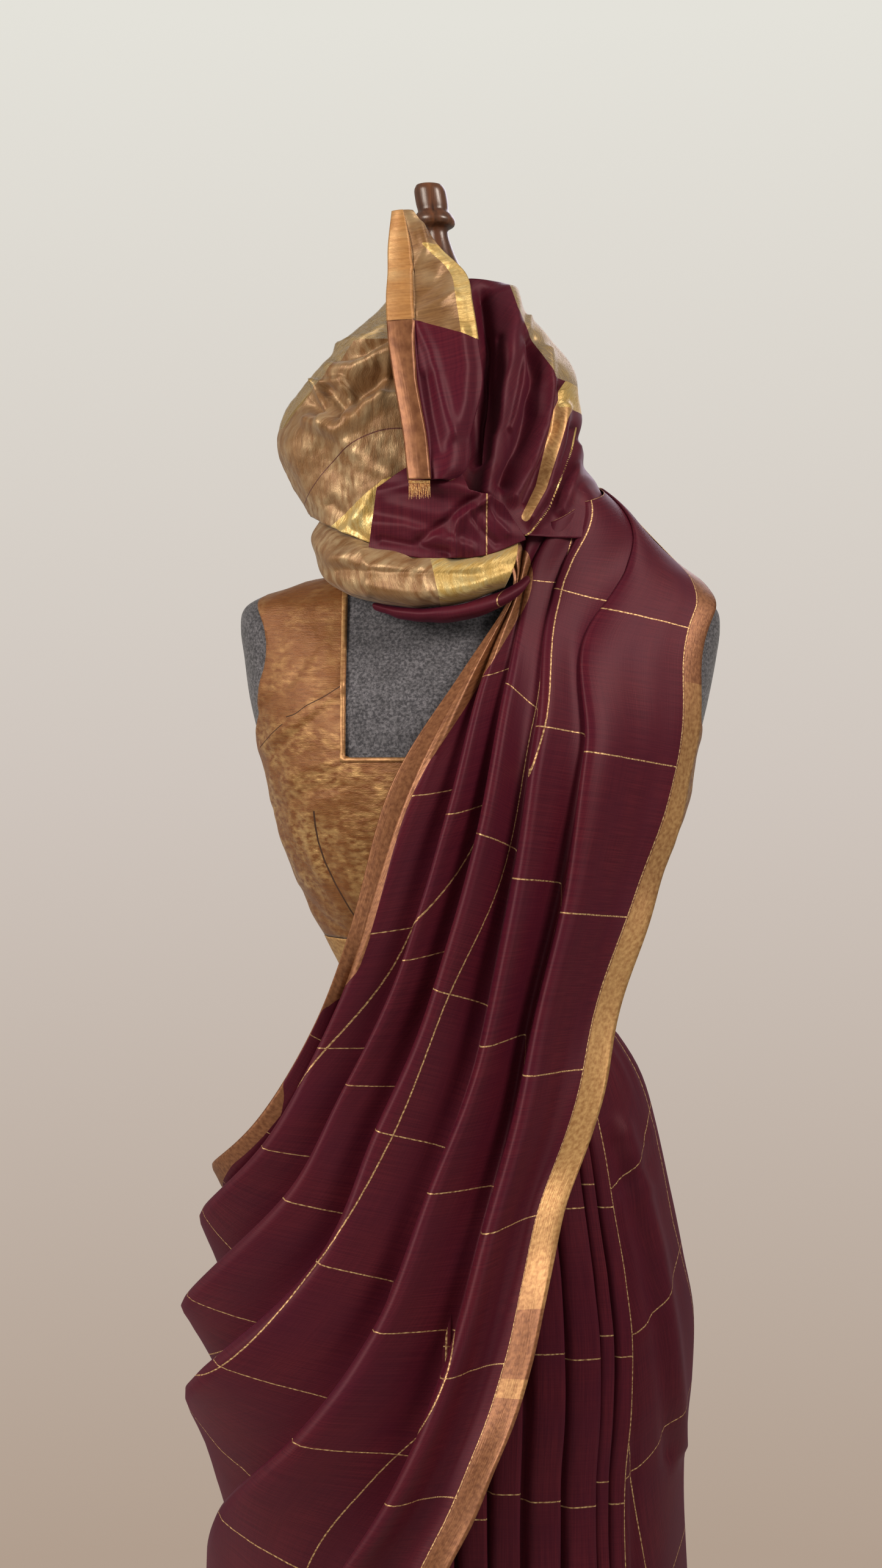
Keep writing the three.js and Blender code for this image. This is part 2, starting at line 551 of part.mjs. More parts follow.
const UNDER_ROLL = [-44, -24, -4, 14, 30, 40].map((turn, i) => ({
  turn,
  reach: [112, 119, 120, 117, 113, 109][i],
  back: [104, 103, 102, 101, 100, 99][i],
  top: rollBottom(turn) - SEAM - 0.2,
  bottom: rollBottom(turn) - [7, 11, 14, 14, 12, 8][i],
}));
add("neck_under_roll", wallThrough(roll(UNDER_ROLL, { columns: 12, steps: 6, folds: 1, height: 1.5 }), { thickness: SAREE_WALL }), "maroon");

const PUFF_TURNS = [
  { name: "front", turn: -26 },
  { name: "front_left", turn: -56 },
  { name: "left", turn: -90 },
  { name: "back_left", turn: -122 },
  { name: "back", turn: -170 },
];
const PUFF = [
  { height: 1652, front: 56, front_left: 60, left: 62, back_left: 68, back: 78 },
  { height: 1628, front: 78, front_left: 78, left: 80, back_left: 88, back: 94 },
  { height: 1605, front: 88, front_left: 102, left: 108, back_left: 108, back: 102 },
  { height: 1570, front: 93, front_left: 122, left: 138, back_left: 122, back: 106 },
  { height: 1530, front: 99, front_left: 134, left: 161, back_left: 134, back: 109 },
  { height: 1490, front: 104, front_left: 130, left: 146, back_left: 130, back: 112 },
  { height: 1455, front: 108, front_left: 122, left: 126, back_left: 122, back: 118 },
  { height: 1424, front: 110, front_left: 120, left: 122, back_left: 122, back: 120 },
];
const puffRows = collar(PUFF, PUFF_TURNS, {
  from: -26, to: -170, columns: 19, steps: 13,
  folds: { count: 4, height: 9, slant: 0.35 },
  bottom: (turn) => rollTop(turn) + SEAM + 0.3,
});
add("neck_left_puff", wallThrough(puffRows, { thickness: SAREE_WALL, inward: -1 }), "tissue");

const LOOP_TURNS = [
  { name: "front", turn: 6 },
  { name: "front_right", turn: 45 },
  { name: "right", turn: 90 },
  { name: "back_right", turn: 125 },
  { name: "back", turn: 155 },
];
const LOOPS = [
  { height: 1655, front: 34, front_right: 32, right: 30, back_right: 34, back: 40 },
  { height: 1634, front: 46, front_right: 48, right: 46, back_right: 50, back: 54 },
  { height: 1610, front: 56, front_right: 66, right: 72, back_right: 68, back: 66 },
  { height: 1580, front: 65, front_right: 80, right: 92, back_right: 82, back: 76 },
  { height: 1545, front: 72, front_right: 86, right: 96, back_right: 86, back: 80 },
  { height: 1505, front: 80, front_right: 89, right: 95, back_right: 88, back: 82 },
  { height: 1470, front: 88, front_right: 90, right: 92, back_right: 86, back: 82 },
  { height: 1446, front: 93, front_right: 89, right: 88, back_right: 82, back: 80 },
];
const loopRows = collar(LOOPS, LOOP_TURNS, {
  from: 6, to: 155, columns: 16, steps: 14,
  folds: { count: 5, height: 9, slant: -0.5 },
});
add("neck_right_loops", wallThrough(loopRows, { thickness: SAREE_WALL }), "maroon");

const TUCK_TURNS = [
  { name: "left", turn: -42 },
  { name: "middle", turn: -10 },
  { name: "right", turn: 24 },
];
const TUCK = [
  { height: 1494, left: 119, middle: 113, right: 104 },
  { height: 1478, left: 124, middle: 120, right: 110 },
  { height: 1455, left: 125, middle: 121, right: 112 },
  { height: 1436, left: 124, middle: 119, right: 111 },
  { height: 1416, left: 123, middle: 116, right: 110 },
];
const TUCK_SINK = 1.9; // its lower edge rests on the curve of the roll, just in front of the roll's top
const tuckRows = collar(TUCK, TUCK_TURNS, {
  from: -42, to: 24, columns: 12, steps: 10,
  folds: { count: 3, height: 4, slant: 0.5 },
  bottom: (turn) => rollTop(turn) - TUCK_SINK,
});
add("neck_centre_tuck", wallThrough(tuckRows, { thickness: SAREE_WALL }), "maroon");

// ---- the loose end: an upright fin of cloth in front of the neck, its selvedge folded in, its end frayed ----

const FIN = [
  { height: 1705, left: -62, fold: -53, right: -45, out: 58 },
  { height: 1674, left: -65, fold: -47, right: -23, out: 66 },
  { height: 1652, left: -65, fold: -46, right: -2, out: 74 },
  { height: 1627, left: -66, fold: -45, right: 3, out: 88 },
  { height: 1591, left: -64, fold: -44, right: 8, out: 100 },
  { height: 1556, left: -59, fold: -41, right: 11, out: 109 },
  { height: 1514, left: -52, fold: -33, right: -4, out: 121 },
  { height: 1486, left: -49, fold: -31, right: -13, out: 129 },
  { height: 1476, left: -48, fold: -30, right: -26, out: 130 },
];
const FIN_BULGE = 7;
const finRows = Array.from({ length: 17 }, (_, i) => {
  const height = lerp(FIN[0].height, FIN[FIN.length - 1].height, i / 16);
  const read = (column) => readTable(FIN, "height", column, height);
  const strip = [0, 0.5, 0.9].map((t) => ({ x: lerp(read("left"), read("fold"), t), back: 5 * (1 - t) ** 2 }));
  const panel = [0.06, 0.28, 0.52, 0.76, 1].map((t) => ({
    x: lerp(read("fold"), read("right"), t),
    back: FIN_BULGE * (1 - Math.sin(Math.PI * Math.min(t, 0.9) * 0.75 + 0.3)) + 9 * t ** 3,
  }));
  return [...strip, ...panel].map(({ x, back }) => new THREE.Vector3(x, -(read("out") - back), height));
});
add("neck_fin", wallThrough(finRows, { thickness: SAREE_WALL, inward: -1 }), "tissue");

const FRINGE = { strands: 24, length: 15, strand: 0.5, strip: 2.2, from: -47.4, to: -30.6, out: 130, below: 1475.6 };
function fringe() {
  const strip = new THREE.BoxGeometry(FRINGE.to - FRINGE.from, 1, FRINGE.strip);
  const stripTop = FRINGE.below - SEAM;
  strip.translate((FRINGE.from + FRINGE.to) / 2, -(FRINGE.out - 3), stripTop - FRINGE.strip / 2);
  let joined = toManifold(strip);
  for (let k = 0; k < FRINGE.strands; k++) {
    const x = lerp(FRINGE.from + 0.5, FRINGE.to - 0.5, k / (FRINGE.strands - 1));
    const length = FRINGE.length * (0.8 + 0.2 * Math.sin(k * 2.4));
    const strand = new THREE.CylinderGeometry(FRINGE.strand / 2, FRINGE.strand / 3, length + 1, 3);
    strand.rotateX(Math.PI / 2);
    strand.applyMatrix4(new THREE.Matrix4().makeShear(0, 0, 0, 0, 0.06 * Math.sin(k * 1.7), 0.05 * Math.cos(k * 2.9)));
    strand.translate(x, -(FRINGE.out - 3), stripTop - FRINGE.strip - length / 2 + 0.5);
    joined = joined.add(toManifold(strand));
  }
  return fromManifold(joined);
}
add("neck_fringe", fringe(), "tissue");

export default saree;
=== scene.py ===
import math

import bmesh
import bpy
import numpy as np
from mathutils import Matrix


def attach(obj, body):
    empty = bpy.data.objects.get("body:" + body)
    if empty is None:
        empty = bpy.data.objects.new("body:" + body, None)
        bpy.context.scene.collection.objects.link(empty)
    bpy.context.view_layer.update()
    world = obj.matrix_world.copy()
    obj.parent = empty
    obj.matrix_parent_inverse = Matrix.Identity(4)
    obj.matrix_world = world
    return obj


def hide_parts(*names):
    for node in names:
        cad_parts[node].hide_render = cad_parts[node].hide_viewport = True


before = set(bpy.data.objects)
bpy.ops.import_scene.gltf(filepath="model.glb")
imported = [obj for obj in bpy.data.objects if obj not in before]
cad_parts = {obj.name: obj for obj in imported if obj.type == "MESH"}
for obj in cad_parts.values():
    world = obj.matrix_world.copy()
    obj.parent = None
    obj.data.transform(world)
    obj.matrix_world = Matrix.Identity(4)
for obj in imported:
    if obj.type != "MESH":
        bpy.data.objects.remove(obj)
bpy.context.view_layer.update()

# ---------------------------------------------------------------------------
# Camera, light and floor
# A standing camera at chest height, straight on; a large soft window light from the left, a weaker one
# from the right, and a pale floor that fades into the pale room.
# ---------------------------------------------------------------------------
MM = 0.001
CAMERA_MM = (-22, -1829, 1238)
LENS_MM = 50
FILM_MM = 36


def linear(hex_colour):
    """An sRGB hex colour as linear RGBA."""
    parts = [int(hex_colour[i : i + 2], 16) / 255 for i in (1, 3, 5)]
    return tuple(c / 12.92 if c <= 0.04045 else ((c + 0.055) / 1.055) ** 2.4 for c in parts) + (1.0,)


def add_node(tree, kind, settings=None, links=None, stops=()):
    """A new node: its settings, its sockets set to values or joined to others, and its colour stops."""
    made = tree.nodes.new(kind)
    for name, value in (settings or {}).items():
        setattr(made, name, value)
    for name, value in (links or {}).items():
        socket = made.inputs[name]
        if isinstance(value, bpy.types.NodeSocket):
            tree.links.new(value, socket)
        else:
            socket.default_value = value
    for number, (position, colour) in enumerate(stops):
        stop = made.color_ramp.elements[number] if number < 2 else made.color_ramp.elements.new(position)
        stop.position, stop.color = position, colour
    return made


def new_material(name):
    """An empty node material and its tree and output."""
    material = bpy.data.materials.new(name)
    material.use_nodes = True
    material.node_tree.nodes.clear()
    return material, material.node_tree, material.node_tree.nodes.new("ShaderNodeOutputMaterial")


scene = bpy.context.scene
camera = bpy.data.objects.new("camera", bpy.data.cameras.new("camera"))
camera.data.lens = LENS_MM
camera.data.sensor_width = FILM_MM
camera.location = [c * MM for c in CAMERA_MM]
camera.rotation_euler = (math.pi / 2, 0, 0)
scene.collection.objects.link(camera)
scene.camera = camera


def area_light(name, place_mm, aim_mm, size_mm, watts, colour):
    lamp = bpy.data.lights.new(name, "AREA")
    lamp.shape = "RECTANGLE"
    lamp.size, lamp.size_y = size_mm[0] * MM, size_mm[1] * MM
    lamp.energy = watts
    lamp.color = linear(colour)[:3]
    holder = bpy.data.objects.new(name, lamp)
    holder.location = [c * MM for c in place_mm]
    aim = np.array(aim_mm) - np.array(place_mm)
    holder.rotation_euler = (
        math.atan2(math.hypot(aim[0], aim[1]), -aim[2]),
        0,
        math.atan2(aim[1], aim[0]) - math.pi / 2,
    )
    scene.collection.objects.link(holder)


area_light("window_left", (-1900, -1400, 2050), (0, 0, 980), (900, 1500), 52, "#fff4e6")
area_light("window_right", (1300, -1050, 2400), (60, 0, 1450), (450, 800), 26, "#fff3e6")
area_light("room_back", (500, 1900, 2500), (0, 0, 1300), (1600, 1000), 14, "#f4efff")

world = bpy.data.worlds.new("pale_room")
scene.world = world
world.use_nodes = True
tree = world.node_tree
tree.nodes.clear()
room = add_node(tree, "ShaderNodeBackground", {}, {"Color": linear("#dcd9d0"), "Strength": 0.34})
look = add_node(tree, "ShaderNodeTexCoord")
spread = add_node(tree, "ShaderNodeSeparateXYZ", {}, {0: look.outputs["Generated"]})
rise = add_node(tree, "ShaderNodeMapRange", {}, {0: spread.outputs[2], 1: -0.33, 2: 0.33})
wall = add_node(
    tree, "ShaderNodeValToRGB", {}, {0: rise.outputs[0]},
    stops=[(0.0, linear("#b19e8e")), (1.0, linear("#e4e2da")), (0.5, linear("#cfc5bd"))],
)
seen = add_node(tree, "ShaderNodeBackground", {}, {"Color": wall.outputs[0], "Strength": 1.0})
path = add_node(tree, "ShaderNodeLightPath")
both = add_node(
    tree, "ShaderNodeMixShader", {},
    {0: path.outputs["Is Camera Ray"], 1: room.outputs[0], 2: seen.outputs[0]},
)
add_node(tree, "ShaderNodeOutputWorld", {}, {"Surface": both.outputs[0]})
scene.view_settings.view_transform = "Standard"

FLOOR_RADIUS_MM = 1500
floor_mesh = bmesh.new()
bmesh.ops.create_circle(floor_mesh, cap_ends=True, radius=FLOOR_RADIUS_MM * MM, segments=96)
floor_data = bpy.data.meshes.new("floor")
floor_mesh.to_mesh(floor_data)
floor_mesh.free()
floor = bpy.data.objects.new("floor", floor_data)
scene.collection.objects.link(floor)
# Trowelled plaster: matt and pale, with clouds about 110 mm across.
floor_plaster, tree, out = new_material("floor_pale_plaster")
grain = add_node(tree, "ShaderNodeTexNoise", {}, {"Scale": 9.0, "Detail": 4.0})
tone = add_node(
    tree, "ShaderNodeMix", {"data_type": "RGBA"},
    {0: grain.outputs[0], 6: linear("#d6d2c8"), 7: linear("#dedad2")},
)
shade = add_node(tree, "ShaderNodeBsdfPrincipled", {}, {"Base Color": tone.outputs[2], "Roughness": 0.85})
tree.links.new(shade.outputs[0], out.inputs[0])
floor_data.materials.append(floor_plaster)

# ---------------------------------------------------------------------------
# The dress form
# A padded bust without limbs, covered in heather charcoal jersey, smooth and whole, narrow at the waist.
# It carries all the cloth, and stands on an iron foot by a plain pole.
# ---------------------------------------------------------------------------
FORM = [  # height, centre, half width, front, back
    (770, 0, 160, 106, 108), (810, 0, 166, 110, 114), (870, 0, 158, 106, 108), (930, 1, 142, 99, 97),
    (990, 3, 120, 88, 83), (1045, 4, 106, 82, 74), (1080, 5, 108, 84, 75), (1118, 7, 128, 95, 81),
    (1174, 9, 157, 115, 88), (1222, 10, 172, 127, 92), (1263, 10, 181, 126, 93), (1309, 10, 192, 112, 92),
    (1345, 11, 198, 92, 87), (1370, 11, 201, 77, 78), (1386, 11, 197, 68, 70), (1396, 11, 180, 61, 64),
    (1404, 10, 152, 57, 60), (1412, 9, 120, 55, 58), (1424, 7, 88, 54, 57), (1440, 4, 68, 53, 57),
    (1470, 1, 57, 52, 56), (1540, 0, 54, 51, 54),
]


def read_table(rows, at):
    """The other columns of a table, smooth between its rows, at values of its first column."""
    table = np.array(rows, float)
    if table[0, 0] > table[-1, 0]:
        table = table[::-1]
    keys, values = table[:, 0], table[:, 1:]
    at = np.clip(np.asarray(at, float), keys[0], keys[-1])
    i = np.clip(np.searchsorted(keys, at, side="left") - 1, 0, len(keys) - 2)
    before = np.maximum(np.arange(len(keys)) - 1, 0)
    after = np.minimum(np.arange(len(keys)) + 1, len(keys) - 1)
    slopes = (values[after] - values[before]) / (keys[after] - keys[before])[:, None]
    gap = (keys[i + 1] - keys[i])[..., None]
    t = (at[..., None] - keys[i][..., None]) / gap
    return (
        (2 * t**3 - 3 * t**2 + 1) * values[i]
        + (t**3 - 2 * t**2 + t) * gap * slopes[i]
        + (3 * t**2 - 2 * t**3) * values[i + 1]
        + (t**3 - t**2) * gap * slopes[i + 1]
    )


def on_figure(table, turn, height, lift=0.0):
    """Points round a figure, in mm: turn is 0 at the front, 90 at its right as seen, 180 at the back."""
    turn, height = np.broadcast_arrays(np.asarray(turn, float), np.asarray(height, float))
    row = read_table(table, height)
    sine, cosine = np.sin(np.radians(turn)), np.cos(np.radians(turn))
    depth = np.where(cosine > 0, row[..., 2], row[..., 3])
    return np.stack([row[..., 0] + (row[..., 1] + lift) * sine, -(depth + lift) * cosine, height], axis=-1)


def grid_faces(rows, columns, ring=False):
    """The four-cornered faces of a grid of points, closed to a ring across its rows or open."""
    index = np.arange(rows * columns).reshape(rows, columns)
    if ring:
        index = np.concatenate([index, index[:, :1]], axis=1)
    corners = [index[:-1, :-1], index[:-1, 1:], index[1:, 1:], index[1:, :-1]]
    return np.stack(corners, axis=-1).reshape(-1, 4).tolist()


def mesh_object(name, points, faces, materials, corners=None, zones=None, thickness=0.0):
    """A smooth mesh object from points in mm: a place in the cloth for each corner, a zone for each face."""
    mesh = bpy.data.meshes.new(name)
    mesh.from_pydata((points * MM).tolist(), [], faces)
    if corners is not None:
        mesh.uv_layers.new(name="cloth").data.foreach_set("uv", corners.reshape(-1))
    for material in materials:
        mesh.materials.append(material)
    if zones is not None:
        mesh.polygons.foreach_set("material_index", np.asarray(zones, np.int32).reshape(-1))
    mesh.polygons.foreach_set("use_smooth", [True] * len(faces))
    mesh.update()
    made = bpy.data.objects.new(name, mesh)
    scene.collection.objects.link(made)
    if thickness:
        shell = made.modifiers.new("thickness", "SOLIDIFY")
        shell.thickness = thickness * MM
        shell.offset = -1
    return made


def grid_object(name, points, materials, ring=False, uv=None, zones=None, thickness=0.0):
    """A mesh object through a grid of points in mm."""
    rows, columns = points.shape[:2]
    corners = None
    if uv is not None:
        if ring:
            once_round = [uv[0, -1, 0] * columns / (columns - 1), 0]
            uv = np.concatenate([uv, uv[:, :1] + once_round], axis=1)
        corners = np.stack([uv[:-1, :-1], uv[:-1, 1:], uv[1:, 1:], uv[1:, :-1]], axis=-2)
    return mesh_object(
        name, points.reshape(-1, 3), grid_faces(rows, columns, ring), materials, corners, zones, thickness
    )


def shades(low, high, start=0.35, end=0.65):
    """The stops of a colour ramp from one hex colour to another."""
    return [(start, linear(low)), (end, linear(high))]


# Heather jersey: knitted from mixed dark and light wool, so matt, with pale flecks 2.4 mm apart, clouds of
# 17 mm, faint courses 1.4 mm high and a short nap. The flecks are drawn coarser than the wool's, to show.
jersey, tree, out = new_material("heather_charcoal_jersey")
place = add_node(tree, "ShaderNodeTexCoord").outputs["Object"]
fleck = add_node(
    tree, "ShaderNodeTexNoise", {}, {"Vector": place, "Scale": 420.0, "Detail": 3.0, "Roughness": 0.7}
)
cloud = add_node(tree, "ShaderNodeTexNoise", {}, {"Vector": place, "Scale": 60.0, "Detail": 3.0})
streak_place = add_node(tree, "ShaderNodeMapping", {}, {"Vector": place, "Scale": (90.0, 90.0, 700.0)})
streak = add_node(
    tree, "ShaderNodeTexNoise", {}, {"Vector": streak_place.outputs[0], "Scale": 1.0, "Detail": 2.0}
)
ramp = add_node(
    tree, "ShaderNodeValToRGB", {}, {0: fleck.outputs[0]}, stops=shades("#3e3d44", "#7d7b82", 0.4, 0.64)
)
cloudy = add_node(
    tree, "ShaderNodeMix", {"data_type": "RGBA", "blend_type": "MULTIPLY"},
    {0: 0.55, 6: ramp.outputs[0], 7: cloud.outputs[0]},
)
streaky = add_node(
    tree, "ShaderNodeMix", {"data_type": "RGBA", "blend_type": "OVERLAY"},
    {0: 0.5, 6: cloudy.outputs[2], 7: streak.outputs[0]},
)
nap = add_node(
    tree, "ShaderNodeBump", {}, {"Strength": 0.35, "Distance": 0.0006, "Height": fleck.outputs[0]}
)
shade = add_node(
    tree, "ShaderNodeBsdfPrincipled", {},
    {"Base Color": streaky.outputs[2], "Normal": nap.outputs[0], "Roughness": 0.95, "Sheen Weight": 0.25},
)
tree.links.new(shade.outputs[0], out.inputs[0])

heights = np.concatenate(
    [np.linspace(770, 1370, 90), np.linspace(1373, 1450, 60), np.linspace(1454, 1540, 14)]
)
turns = np.linspace(0, 360, 160, endpoint=False)
bust_points = on_figure(FORM, turns[None, :], heights[:, None])
bust = grid_object("form_bust", bust_points, [jersey], ring=True)
closing = bmesh.new()
closing.from_mesh(bust.data)
bmesh.ops.holes_fill(closing, edges=[e for e in closing.edges if e.is_boundary], sides=0)
bmesh.ops.recalc_face_normals(closing, faces=closing.faces)
closing.to_mesh(bust.data)
closing.free()
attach(bust, "root")
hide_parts("form_torso")

# Turned walnut: a cap lathed from one block, waxed, dark in its beads and worn paler on their edges. Its
# figure runs up the block, in bands about 8 mm wide and 50 mm long, with pores 1 mm wide and 17 mm long.
CAP = [  # height, radius
    (0, 0), (0, 48), (5, 49), (12, 45), (32, 38), (60, 31), (90, 25), (118, 20), (142, 12), (158, 9),
    (163, 10), (166, 16), (170, 17.5), (175, 15.5), (178, 12.5), (184, 13.5), (196, 13.5), (200, 11),
    (201, 0),
]
CAP_FOOT_MM = 1540.3
CAP_LEAN = -0.16
walnut, tree, out = new_material("turned_walnut")
place = add_node(tree, "ShaderNodeTexCoord").outputs["Object"]
stretched = add_node(tree, "ShaderNodeMapping", {}, {"Vector": place, "Scale": (55.0, 55.0, 9.0)})
figure = add_node(
    tree, "ShaderNodeTexNoise", {},
    {"Vector": stretched.outputs[0], "Scale": 2.2, "Detail": 6.0, "Distortion": 1.4},
)
pores_place = add_node(tree, "ShaderNodeMapping", {}, {"Vector": place, "Scale": (900.0, 900.0, 60.0)})
pores = add_node(
    tree, "ShaderNodeTexNoise", {}, {"Vector": pores_place.outputs[0], "Scale": 1.0, "Detail": 2.0}
)
ramp = add_node(
    tree, "ShaderNodeValToRGB", {}, {0: figure.outputs[0]}, stops=shades("#26150f", "#6b4029", 0.3, 0.75)
)
edge = add_node(tree, "ShaderNodeNewGeometry").outputs["Pointiness"]
wear_and_glint = add_node(tree, "ShaderNodeMapRange", {}, {0: edge, 1: 0.5, 2: 0.62, 3: 0.0, 4: 0.6})
colour = add_node(
    tree, "ShaderNodeMix", {"data_type": "RGBA"},
    {0: wear_and_glint.outputs[0], 6: ramp.outputs[0], 7: linear("#8f5f3c")},
)
pitted = add_node(
    tree, "ShaderNodeBump", {}, {"Strength": 0.25, "Distance": 0.0004, "Height": pores.outputs[0]}
)
shade = add_node(
    tree, "ShaderNodeBsdfPrincipled", {},
    {
        "Base Color": colour.outputs[2], "Normal": pitted.outputs[0], "Roughness": 0.33,
        "Coat Weight": 0.3, "Coat Roughness": 0.25,
    },
)
tree.links.new(shade.outputs[0], out.inputs[0])

profile = []
for (h0, r0), (h1, r1) in zip(CAP[:-1], CAP[1:]):
    profile += [(h0 + (h1 - h0) * t, r0 + (r1 - r0) * t) for t in np.linspace(0, 1, 5)[:-1]]
profile = np.array(profile + [CAP[-1]], float)
for _ in range(2):
    profile[5:-5] = (profile[4:-6] + 2 * profile[5:-5] + profile[6:-4]) / 4
around = np.radians(np.linspace(0, 360, 64, endpoint=False))
radius = np.maximum(profile[:, 1:2], 0.01)
level = profile[:, :1] + 0 * around[None, :]
cap_points = np.stack(
    [radius * np.cos(around) + CAP_LEAN * level, radius * np.sin(around), CAP_FOOT_MM + level], axis=-1
)
cap = grid_object("form_neck_cap_turned", cap_points, [walnut], ring=True)
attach(cap, "root")
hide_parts("form_neck_cap")

# Cast and painted iron: the foot keeps the sand's grain under black enamel, in pits about 4 mm apart, and the
# pole is the same enamel on tube. It is rubbed greyer in patches of about 70 mm.
enamel, tree, out = new_material("black_enamelled_iron")
sand = add_node(tree, "ShaderNodeTexNoise", {}, {"Scale": 260.0, "Detail": 3.0})
wear_and_glint = add_node(tree, "ShaderNodeTexNoise", {}, {"Scale": 14.0, "Detail": 5.0})
colour = add_node(
    tree, "ShaderNodeMix", {"data_type": "RGBA"},
    {0: wear_and_glint.outputs[0], 6: linear("#1c1c1d"), 7: linear("#343231")},
)
bump = add_node(
    tree, "ShaderNodeBump", {}, {"Strength": 0.3, "Distance": 0.0005, "Height": sand.outputs[0]}
)
shade = add_node(
    tree, "ShaderNodeBsdfPrincipled", {},
    {"Base Color": colour.outputs[2], "Normal": bump.outputs[0], "Roughness": 0.45},
)
tree.links.new(shade.outputs[0], out.inputs[0])
for node in ("stand_base", "stand_pole"):
    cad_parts[node].data.materials.clear()
    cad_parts[node].data.materials.append(enamel)

# ---------------------------------------------------------------------------
# The saree's silk, and its skirt
# Chanderi: a fine plain weave of maroon silk shot with plum, 1.08 m wide, crossed every 125 mm by a single
# gold thread each way. The skirt is its first wraps, tucked in at the waist, with the zari border at the hem.
# ---------------------------------------------------------------------------
CHECK_M = 0.125
CHECK_THREAD_M = 0.0011
FIRST_CHECK_M = 0.145
BORDER_M = 0.019
SILK_THICKNESS_MM = 0.6


def cloth_place(tree):
    """The cloth's own coordinates in metres: along its length, and across it from the lower selvedge."""
    place = add_node(tree, "ShaderNodeUVMap", {"uv_map": "cloth"})
    split = add_node(tree, "ShaderNodeSeparateXYZ", {}, {0: place.outputs[0]})
    return split.outputs[0], split.outputs[1]


def thread_lines(tree, distance, first_m):
    """1 on a line every CHECK_M, counted from first_m, and 0 elsewhere."""
    shifted = add_node(tree, "ShaderNodeMath", {"operation": "SUBTRACT"}, {0: distance, 1: first_m})
    to_line = add_node(
        tree, "ShaderNodeMath", {"operation": "PINGPONG"}, {0: shifted.outputs[0], 1: CHECK_M / 2}
    )
    return add_node(
        tree, "ShaderNodeMath", {"operation": "LESS_THAN"}, {0: to_line.outputs[0], 1: CHECK_THREAD_M / 2}
    ).outputs[0]


def stretched_noise(tree, along, across, along_mm, across_mm, detail=2.0):
    """Noise in the cloth's plane, its blots about along_mm by across_mm."""
    spot = add_node(tree, "ShaderNodeCombineXYZ", {}, {0: along, 1: across})
    per_metre = (1000 / along_mm, 1000 / across_mm, 1)
    scaled = add_node(tree, "ShaderNodeMapping", {}, {"Vector": spot.outputs[0], "Scale": per_metre})
    return add_node(
        tree, "ShaderNodeTexNoise", {}, {"Vector": scaled.outputs[0], "Scale": 1.0, "Detail": detail}
    ).outputs[0]


# Shot silk: plum weft under maroon warp, so it turns plum where it curves away, and shines in a streak
# across its threads. Slubs 45 mm long cross it. They and the gold threads are drawn twice as thick as real
# ones, to show.
maroon_silk, tree, out = new_material("maroon_shot_silk")
along, across = cloth_place(tree)
slub = stretched_noise(tree, along, across, 0.9, 45)
warp = stretched_noise(tree, along, across, 60, 0.8)
cloud = stretched_noise(tree, along, across, 70, 50)
weft_tone = add_node(tree, "ShaderNodeValToRGB", {}, {0: slub}, stops=shades("#42101b", "#652129"))
warp_tone = add_node(tree, "ShaderNodeValToRGB", {}, {0: warp}, stops=shades("#400f1c", "#64202a"))
striped = add_node(
    tree, "ShaderNodeMix", {"data_type": "RGBA"}, {0: 0.35, 6: weft_tone.outputs[0], 7: warp_tone.outputs[0]}
)
clouded = add_node(
    tree, "ShaderNodeMix", {"data_type": "RGBA"}, {0: cloud, 6: striped.outputs[2], 7: linear("#461326")}
)
lines = add_node(
    tree, "ShaderNodeMath", {"operation": "MAXIMUM"},
    {0: thread_lines(tree, along, 0.0), 1: thread_lines(tree, across, FIRST_CHECK_M)},
).outputs[0]
glint = stretched_noise(tree, along, across, 2.5, 2.5)
thread = add_node(tree, "ShaderNodeValToRGB", {}, {0: glint}, stops=shades("#8a5f45", "#e6c48c", 0.4, 0.62))
colour = add_node(
    tree, "ShaderNodeMix", {"data_type": "RGBA"}, {0: lines, 6: clouded.outputs[2], 7: thread.outputs[0]}
)
height = add_node(tree, "ShaderNodeMath", {"operation": "ADD"}, {0: slub, 1: warp})
bump = add_node(
    tree, "ShaderNodeBump", {}, {"Strength": 0.16, "Distance": 0.0004, "Height": height.outputs[0]}
)
metal = add_node(tree, "ShaderNodeMath", {"operation": "MULTIPLY"}, {0: lines, 1: 0.45})
thread_way = add_node(tree, "ShaderNodeTangent", {"direction_type": "UV_MAP", "uv_map": "cloth"})
shade = add_node(
    tree, "ShaderNodeBsdfPrincipled", {},
    {
        "Base Color": colour.outputs[2], "Normal": bump.outputs[0], "Metallic": metal.outputs[0],
        "Tangent": thread_way.outputs[0], "Roughness": 0.52, "Specular IOR Level": 0.42,
        "Specular Tint": linear("#d8a6ae"), "Anisotropic": 0.6, "Sheen Weight": 0.22,
        "Sheen Roughness": 0.35, "Sheen Tint": linear("#8a2f66"),
    },
)
tree.links.new(shade.outputs[0], out.inputs[0])
